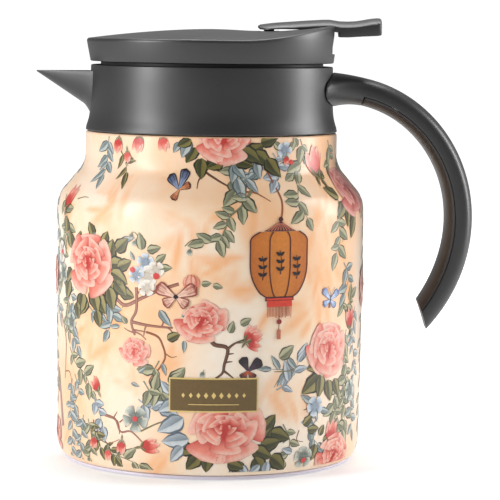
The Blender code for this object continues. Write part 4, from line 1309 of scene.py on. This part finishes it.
# %% Handle pieces
bm = bmesh.new()
add_loft(bm, [root_ring(a) for a in steps_between(94.0, 72.0, 16) + steps_between(69.0, GRIP_END, 44)])
handle = shape("handle_shell_fine", bm, BLACK)
bm = bmesh.new()
inner_side = [(-9.0, -14.0), (GRIP_SPLIT, -14.0), (GRIP_SPLIT, 14.0), (-9.0, 14.0)]
add_loft(bm, [[grip_point(a, n, w) for n, w in inner_side] for a in steps_between(74.0, GRIP_END - 3.0, 60)])
cut_away(handle, bm)
bm = bmesh.new()
add_turned(bm, [(0, 120), (47.8, 120), (47.8, 160), (0, 160)], 192)
cut_away(handle, bm)
soft_edges(handle, 0.5, 3, 45.0)
fit(handle, "jug", "black_plastic", "handle_shell")

STRIP_SIDE = [(-1.66, 10.75), (-2.2, 10.6), (-3.0, 9.9), (-3.8, 8.9), (-4.5, 7.6), (-4.95, 6.2), (-5.2, 4.6),
              (-5.32, 2.4)]
strip_section = [(n, -w) for n, w in STRIP_SIDE] + [(n, w) for n, w in STRIP_SIDE[::-1]]
bm = bmesh.new()
add_loft(bm, [[grip_point(a, n, w) for n, w in strip_section] for a in steps_between(73.6, GRIP_END, 72)])
strip = shape("handle_strip_fine", bm, BLACK)
soft_edges(strip, 0.45, 3, 45.0)
fit(strip, "jug", "black_plastic", "handle_strip")
print("handle faces:", len(handle.data.polygons), "strip faces:", len(strip.data.polygons))


# %% [markdown]
# ## The lid
# The lid's cover is a shallow dome whose rim climbs towards the handle, where a channel takes the
# thumb lever.  It is turned, its back is raised, and the channel and the pivot slot are cut out.

# %% Lid cover
LID_RIM_Z = 163.9


def dome_height(r):
    return LID_RIM_Z + 3.9 * (1 - (r / 48.0) ** 1.7)


def raise_rear(thing, above):
    """Lift the top of a turned shape so that its rim climbs towards +x."""
    for v in thing.data.vertices:
        x = v.co.x / MM
        height = min(1.0, max(0.0, (v.co.z / MM - above) / 1.0))
        if height > 0 and x > 12.0:
            v.co.z += MM * 5.9 * height * ((x - 12.0) / 35.0) ** 1.8


dome_radii = steps_between(47.0, 0.0, 22)
cover_side = [(0.0, LID_Z), (47.4, LID_Z), (48.9, 162.8), (48.75, 163.45), (48.2, LID_RIM_Z)]
cover_side += [(r, dome_height(r)) for r in dome_radii]
bm = bmesh.new()
add_turned(bm, softened(cover_side, 0.4, 3), 192)
cover = shape("lid_cover_fine", bm, BLACK)
raise_rear(cover, 162.0)
bm = bmesh.new()
add_turned(bm, [(0.0, 154.0), (45.4, 154.0), (46.6, 161.4)] + [(r - 1.0, dome_height(r) - 2.0)
                                                            for r in dome_radii[:-1]] + [(0.0, 165.8)], 96)
cavity = shape("lid_cavity", bm)
raise_rear(cavity, 160.4)
bm = bmesh.new()
add_prism(bm, [(25.0, 190), (25.0, 160.4), (44.8, 160.4), (44.8, 157.6), (60, 157.6), (60, 190)], 14.4)
cut_away(cavity, bm)
combine(cover, cavity, "DIFFERENCE", False)
bm = bmesh.new()
add_prism(bm, [(26.0, 191), (26.0, 162.2), (46.6, 162.2), (46.6, 158.5), (61, 158.5), (61, 191)], 12.6)
cut_away(cover, bm)
bm = bmesh.new()
add_box(bm, (18.6, 26.4), (-7.8, 7.8), (162.9, 192))
cut_away(cover, bm)
soft_edges(cover, 0.3, 2, 45.0)
fit(cover, "lid", "black_plastic", "lid_cover")
print("lid cover faces:", len(cover.data.polygons))

# %% [markdown]
# ## The thumb lever
# The lever is a low bar that widens to a thumb pad.  Its sections are rounded boxes; below them hang
# the two ears for the pin and the arm that lifts the valve.

# %% Lever
LEVER_STATIONS = [(17.7, 168.6, 169.3, 4.4), (18.0, 168.3, 169.5, 5.6), (18.6, 167.9, 169.8, 7.0),
                  (20.5, 167.7, 170.1, 9.0), (23.5, 167.9, 170.5, 10.5), (27.0, 168.1, 170.8, 11.2),
                  (31.0, 168.05, 171.1, 11.2), (34.5, 168.0, 171.4, 11.2), (39.0, 167.8, 171.7, 11.2),
                  (43.0, 167.5, 171.95, 11.2), (45.4, 167.4, 172.0, 11.2), (48.3, 167.1, 171.6, 11.2),
                  (49.2, 167.0, 171.45, 11.2), (49.5, 165.2, 171.4, 11.2), (52.6, 165.2, 171.35, 11.2),
                  (55.5, 165.4, 171.5, 11.2), (58.2, 165.6, 171.9, 11.2), (60.5, 165.7, 172.35, 11.15),
                  (62.1, 165.8, 172.6, 11.0), (64.0, 165.9, 172.78, 10.7), (65.2, 166.1, 172.7, 10.3),
                  (65.6, 166.6, 172.3, 9.8)]


def lever_ring(x, low, top, half, steps=14):
    """Arched top, upright sides and a flat underside with rounded lower corners."""
    edge = max(low + 0.45, top - 2.5)
    corner = min(0.35, 0.4 * (edge - low))
    ring = []
    for side in (1, -1):
        bend = [(half - corner + corner * math.cos(a), low + corner - corner * math.sin(a))
                for a in [math.radians(30 * k) for k in range(4)]]
        ring += [Vector((x, side * y, z)) for y, z in (bend if side > 0 else bend[::-1])]
    for k in range(-steps, steps + 1):
        s = k / steps
        arch = (1 - abs(s) ** 2.4) ** 0.8 if abs(s) < 1 else 0.0
        ring.append(Vector((x, half * s, edge + (top - edge) * arch)))
    return ring


bm = bmesh.new()
add_loft(bm, [lever_ring(*s) for s in LEVER_STATIONS])
lever = shape("lever_fine", bm, BLACK)
bm = bmesh.new()
for low_y, high_y in ((-7.2, -4.6), (4.6, 7.2)):
    add_box(bm, (20.1, 24.0), (low_y, high_y), (159.0, 168.3))
fuse(lever, bm)
bm = bmesh.new()
add_box(bm, (-2.4, 23.5), (-5.6, 5.6), (159.2, 161.3))
fuse(lever, bm)
bm = bmesh.new()
add_box(bm, (-6.0, 3.0), (-2.5, 2.5), (150, 166))
cut_away(lever, bm)
bm = bmesh.new()
add_rod(bm, (22.0, -20, 162.3), (22.0, 20, 162.3), 1.5)
cut_away(lever, bm)
soft_edges(lever, 0.22, 2, 50.0)
fit(lever, "lever", "black_plastic", "lever")
print("lever faces:", len(lever.data.polygons))


# %% [markdown]
# ## Below the lid and under the foot
# These parts show when the lid is lifted, the strainer is let down or the jug is turned over: the
# steel liner, the sleeve in the collar, the plug with its windows and seals, the perforated strainer,
# and the pale base cover with its rubber pad.

# %% Turned parts inside and below
LINER_R = 55.6
LINER_FLOOR = 9.8
LINER_FOOT_BEND = 10.0
LINER_SHOULDER_Z = 94.0
LINER_SLOPE = 42.0
LINER_NECK_R = 43.3
MOUTH_Z = 139.5


def liner_outline(inset, steps):
    """Outer side of the liner from its floor to its neck, moved inwards by inset."""
    a = math.radians(LINER_SLOPE)
    straight = (LINER_R - LINER_NECK_R - (BEND_LOW + BEND_HIGH) * (1 - math.cos(a))) / math.sin(a)
    neck_z = LINER_SHOULDER_Z + (BEND_LOW + BEND_HIGH) * math.sin(a) + straight * math.cos(a)
    points = arc(LINER_R - LINER_FOOT_BEND, LINER_FLOOR + LINER_FOOT_BEND, LINER_FOOT_BEND - inset, -90, 0,
                 steps)
    points += arc(LINER_R - BEND_LOW, LINER_SHOULDER_Z, BEND_LOW - inset, 0, LINER_SLOPE, steps)
    return points + arc(LINER_NECK_R + BEND_HIGH, neck_z, BEND_HIGH + inset, 180 + LINER_SLOPE, 180, steps)


mouth = [(LINER_NECK_R, MOUTH_Z), (STUB_R, MOUTH_Z), (STUB_R, MOUTH_Z + STEEL_WALL),
         (LINER_NECK_R - STEEL_WALL, MOUTH_Z + STEEL_WALL)]
liner = [(0.0, LINER_FLOOR)] + liner_outline(0.0, 10) + mouth
liner += liner_outline(STEEL_WALL, 10)[::-1] + [(0.0, LINER_FLOOR + STEEL_WALL)]
fit(turned("liner_fine", liner, STEEL, 0.2, 144), "jug", "stainless_steel", "inner_liner")

sleeve_side = [(41.0, 130.5), (42.4, 130.5), (42.4, 141.9), (44.5, 141.9), (44.5, 143.2), (41.4, 143.2),
               (41.0, 142.8)]
fit(turned("sleeve_fine", sleeve_side, SLEEVE, 0.3, 144), "jug", "sleeve_plastic", "collar_sleeve")

foot_side = [(0, 1.7), (52.3, 1.7), (52.3, 0.4), (56.4, 0.4), (56.4, 1.6), (54.6, 1.6), (54.6, 2.8), (0, 2.8)]
fit(turned("base_cover_fine", foot_side, PALE, 0.45, 160), "jug", "pale_plastic", "base_cover")

pad_side = [(0, 0), (40.0, 0), (40.4, 0.3), (41.2, 0.3), (41.6, 0), (52.0, 0), (52.0, 1.4), (0, 1.4)]
fit(turned("base_pad_fine", pad_side, PAD, 0.4, 160), "jug", "grey_rubber", "base_pad")

lower_side = [(39.3, 134.1), (40.0, 134.1), (40.7, 134.9), (40.7, 136.5), (40.0, 137.3), (39.3, 137.3)]
fit(turned("lower_seal_fine", lower_side, SILICONE, 0.5, 144), "lid", "silicone", "lower_seal")

upper_side = [(42.3, 151.9), (43.7, 151.9), (44.3, 152.3), (44.3, 152.8), (43.7, 153.1), (42.3, 153.1)]
fit(turned("upper_seal_fine", upper_side, SILICONE, 0.3, 144), "lid", "silicone", "upper_seal")
print("liner, sleeve, foot and seals ready")

# %% Plug, strainer rim and valve disc
WINDOWS = 6
plug = turned("plug_fine", [
    (2.2, 146.0), (4.6, 146.0), (4.6, 151.0), (38.2, 151.0), (38.2, 130.4), (39.8, 130.4), (39.8, 133.8),
    (39.0, 133.8), (39.0, 137.6), (39.8, 137.6), (39.8, 150.6), (43.4, 150.6), (43.4, 151.6), (42.0, 151.6),
    (42.0, 153.4), (43.4, 153.4), (43.4, 154.9), (2.2, 154.9)], DARK, 0.25, 144)
bm = bmesh.new()
for k in range(WINDOWS):
    add_box(bm, (36, 42), (-7.0, 7.0), (144.2, 150.2), 360.0 * k / WINDOWS)
cut_away(plug, bm)
soft_edges(plug, 0.2, 2, 50.0)
fit(plug, "lid", "dark_plastic", "plug_body")

bottom_side = [(11.0, 128.4), (36.2, 128.4), (36.2, 124.6), (37.4, 124.6), (37.4, 128.4), (39.7, 128.4),
               (39.7, 130.1), (11.0, 130.1)]
fit(turned("plug_bottom_fine", bottom_side, DARK, 0.25, 144), "lid", "dark_plastic", "plug_bottom")

rim_side = [(33.9, 121.5), (40.2, 121.5), (40.2, 128.0), (37.8, 128.0), (37.8, 124.2), (33.9, 124.2)]
fit(turned("strainer_rim_fine", rim_side, DARK, 0.3, 144), "strainer", "dark_plastic", "strainer_rim")

disc_side = [(2.1, 130.4), (13.8, 130.4), (13.8, 131.9), (13.2, 132.3), (6.2, 133.0), (5.8, 134.4),
             (2.1, 134.4)]
fit(turned("valve_disc_fine", disc_side, SILICONE, 0.5, 96), "valve", "silicone", "valve_disc")
print("plug windows:", WINDOWS)


# %% [markdown]
# ## The valve spring
# The spring is a wire helix with its end coils laid flat, wound round the stem between its collar and
# the end of the guide.  On the real jug it is the one metal piece that changes shape: when the lever
# lifts the valve, its coils close up.

# %% Valve spring
SPRING_LOW = 136.1
SPRING_HIGH = 145.7
SPRING_COIL = 3.4
SPRING_WIRE = 0.4
SPRING_TURNS = 6.0
FLAT_SHARE = 0.12


def spring_rings(steps=180, around=10):
    rings = []
    for k in range(steps + 1):
        t = k / steps
        climb = min(1.0, max(0.0, (t - FLAT_SHARE) / (1 - 2 * FLAT_SHARE)))
        a = 2 * math.pi * SPRING_TURNS * t
        rise = SPRING_HIGH - SPRING_LOW - 2 * SPRING_WIRE
        z = SPRING_LOW + SPRING_WIRE + rise * (0.94 * climb + 0.06 * t)
        out = Vector((math.cos(a), math.sin(a), 0.0))
        rings.append([SPRING_COIL * out + Vector((0, 0, z))
                      + SPRING_WIRE * (math.cos(b) * out + math.sin(b) * Vector((0, 0, 1)))
                      for b in [2 * math.pi * j / around for j in range(around)]])
    return rings


bm = bmesh.new()
add_loft(bm, spring_rings())
spring = shape("valve_spring_fine", bm, SCREW)
settle(spring)
fit(spring, "lid", "stainless_steel", "valve_spring")
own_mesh(spring)
print("spring faces:", len(spring.data.polygons))

# %% [markdown]
# ## The strainer basket
# A real strainer is thin steel with a few hundred small round holes.  Each hole sits in its own little
# cell: eight points on the hole, eight on the cell's edge.  Cells laid side by side make the wall, and
# rings of cells make the floor.  A Solidify modifier then gives the sheet its thickness.

# %% Strainer basket helpers
BASKET_R = 32.6
BASKET_TOP = 124.5
BASKET_FLOOR = 74.2


def add_cell(bm, corner_at, hole):
    """One cell of sheet with a round hole, or none; corner_at places a point given from -1 to 1."""
    edge = [(-1, -1), (0, -1), (1, -1), (1, 0), (1, 1), (0, 1), (-1, 1), (-1, 0)]
    outer = [bm.verts.new(corner_at(u, v)) for u, v in edge]
    if not hole:
        bm.faces.new(outer)
        return
    turns = [math.radians(225 + 45 * k) for k in range(8)]
    inner = [bm.verts.new(corner_at(hole * math.cos(a), hole * math.sin(a))) for a in turns]
    for k in range(8):
        n = (k + 1) % 8
        bm.faces.new((outer[k], outer[n], inner[n], inner[k]))


# %% Strainer basket
COLUMNS = 72
ROWS = 16
FLOOR_RINGS = 9
CORNER_BEND = 4.0
WALL_LOW = BASKET_FLOOR + CORNER_BEND
WALL_HIGH = 119.5
WALL_HOLE = 0.55
FLOOR_HOLE = 0.5
bm = bmesh.new()
for row in range(ROWS):
    for column in range(COLUMNS):
        def on_wall(u, v, row=row, column=column):
            a = 2 * math.pi * (column + 0.5 + u / 2) / COLUMNS
            return (BASKET_R * math.cos(a), BASKET_R * math.sin(a),
                    WALL_LOW + (WALL_HIGH - WALL_LOW) * (row + 0.5 + v / 2) / ROWS)
        add_cell(bm, on_wall, WALL_HOLE if row > 0 else 0.0)
for ring in range(FLOOR_RINGS):
    count = COLUMNS if ring > 3 else COLUMNS // 3
    for column in range(count):
        def on_floor(u, v, ring=ring, column=column, count=count):
            a = 2 * math.pi * (column + 0.5 + u / 2) / count
            r = 2.0 + (BASKET_R - CORNER_BEND - 2.0) * (ring + 0.5 + v / 2) / FLOOR_RINGS
            return (r * math.cos(a), r * math.sin(a), BASKET_FLOOR)
        add_cell(bm, on_floor, FLOOR_HOLE if ring not in (0, 4) else 0.0)
flange = [(35.6, BASKET_TOP), (BASKET_R + 0.5, BASKET_TOP), (BASKET_R, BASKET_TOP - 0.5),
          (BASKET_R, WALL_HIGH)]
corner = arc(BASKET_R - CORNER_BEND, WALL_LOW, CORNER_BEND, 0, -90, 8)
around = [math.pi * k / COLUMNS for k in range(2 * COLUMNS)]
for points in (flange, corner):
    loops = [[bm.verts.new((r * math.cos(a), r * math.sin(a), z)) for a in around] for r, z in points]
    for low, high in zip(loops, loops[1:]):
        for k in range(len(around)):
            n = (k + 1) % len(around)
            bm.faces.new((low[k], low[n], high[n], high[k]))
bmesh.ops.remove_doubles(bm, verts=bm.verts, dist=0.02)
basket = shape("basket_fine", bm, STEEL)
sheet = basket.modifiers.new("sheet", "SOLIDIFY")
sheet.thickness = 0.45 * MM
sheet.offset = 0.0
settle(basket)
fit(basket, "strainer", "stainless_steel", "strainer_basket")
print("basket faces:", len(basket.data.polygons))

# %% [markdown]
# ## Finishes for the small parts
# Screws, pin, valve stem and the hidden base keep the shapes of the solid model.  They only
# get their finishes here.

# %% Finish the small parts
SMALL_PARTS = {"vacuum_base": STEEL, "getter": GETTER, "neck_gasket": SILICONE, "handle_screw_near": SCREW,
               "handle_screw_far": SCREW, "lid_base": DARK, "lid_foam": FOAM, "lid_screw_1": SCREW,
               "lid_screw_2": SCREW, "lid_screw_3": SCREW, "lever_pin": SCREW, "stem_bush": SILICONE,
               "valve_stem": STEEL, "stem_clip": SCREW}
for node, finish in SMALL_PARTS.items():
    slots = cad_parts[node].material_slots
    for slot in slots:
        slot.material = finish
print("small parts finished:", len(SMALL_PARTS))

# %% Camera, floor and lights
EYE = Vector((15.7, -950.0, 170.0)) * MM
AIM = Vector((15.7, 0.0, 81.4)) * MM
VIEW_WIDTH = 196.7 * MM

camera = bpy.data.objects.new("camera", bpy.data.cameras.new("camera"))
bpy.context.scene.collection.objects.link(camera)
camera.location = EYE
camera.rotation_mode = "QUATERNION"
camera.rotation_quaternion = ((AIM - EYE).to_track_quat("-Z", "Y")
                              @ Matrix.Rotation(math.radians(0.72), 3, "Z").to_quaternion())
camera.data.lens = 36.0 * (AIM - EYE).length / VIEW_WIDTH
camera.data.clip_end = 20.0
bpy.context.scene.camera = camera

bm = bmesh.new()
bmesh.ops.create_grid(bm, x_segments=8, y_segments=8, size=6000)
floor_finish, floor_tree, floor_shader = start_finish("pale floor", 0.7)
floor_shader.inputs["Base Color"].default_value = (0.8, 0.8, 0.8, 1.0)
floor_shader.inputs["Emission Color"].default_value = (1.0, 1.0, 1.0, 1.0)
floor_path = floor_tree.nodes.new("ShaderNodeLightPath")
floor_glow = floor_tree.nodes.new("ShaderNodeMapRange")
floor_glow.inputs["To Min"].default_value = 0.2
floor_place = floor_tree.nodes.new("ShaderNodeTexCoord")
floor_reach = floor_tree.nodes.new("ShaderNodeVectorMath")
floor_reach.operation = "LENGTH"
# Near the jug the floor's glow to the camera drops from 0.88 to 0.3: a painted contact shadow round the foot.
floor_painted_shadow = floor_tree.nodes.new("ShaderNodeMapRange")
floor_painted_shadow.inputs["From Min"].default_value = 0.06
floor_painted_shadow.inputs["From Max"].default_value = 0.13
floor_painted_shadow.inputs["To Min"].default_value = 0.3
floor_painted_shadow.inputs["To Max"].default_value = 0.88
floor_tree.links.new(floor_place.outputs["Object"], floor_reach.inputs[0])
floor_tree.links.new(floor_reach.outputs["Value"], floor_painted_shadow.inputs["Value"])
floor_tree.links.new(floor_painted_shadow.outputs["Result"], floor_glow.inputs["To Max"])
floor_tree.links.new(floor_path.outputs["Is Camera Ray"], floor_glow.inputs["Value"])
floor_tree.links.new(floor_glow.outputs["Result"], floor_shader.inputs["Emission Strength"])
floor = shape("floor", bm, floor_finish)

world = bpy.data.worlds.new("studio")
bpy.context.scene.world = world
world.use_nodes = True
sky = world.node_tree.nodes["Background"]
sky.inputs["Color"].default_value = (1.0, 1.0, 1.0, 1.0)
sky.inputs["Strength"].default_value = 0.3
seen = world.node_tree.nodes.new("ShaderNodeBackground")
seen.inputs["Color"].default_value = (1.0, 1.0, 1.0, 1.0)
seen.inputs["Strength"].default_value = 1.05
path = world.node_tree.nodes.new("ShaderNodeLightPath")
pick = world.node_tree.nodes.new("ShaderNodeMixShader")
world.node_tree.links.new(path.outputs["Is Camera Ray"], pick.inputs[0])
world.node_tree.links.new(sky.outputs[0], pick.inputs[1])
world.node_tree.links.new(seen.outputs[0], pick.inputs[2])
world.node_tree.links.new(pick.outputs[0], world.node_tree.nodes["World Output"].inputs["Surface"])


MIDDLE = Vector((0.0, 0.0, 0.09))


def soft_light(name, place, size, power):
    """A soft box that looks at the middle of the jug."""
    lamp = bpy.data.lights.new(name, "AREA")
    lamp.shape = "RECTANGLE"
    lamp.size = size[0]
    lamp.size_y = size[1]
    lamp.energy = power
    thing = bpy.data.objects.new(name, lamp)
    bpy.context.scene.collection.objects.link(thing)
    thing.location = place
    thing.rotation_euler = (MIDDLE - Vector(place)).to_track_quat("-Z", "Y").to_euler()


soft_light("left_box", (-0.9, -0.5, 0.42), (0.24, 0.8), 7.5)
soft_light("right_box", (1.0, 0.16, 0.42), (0.3, 0.8), 7.5)
soft_light("top_box", (0.0, 0.42, 1.0), (0.8, 0.4), 6.0)
bpy.context.scene.view_settings.view_transform = "Standard"
print("lens %.1f mm" % camera.data.lens)
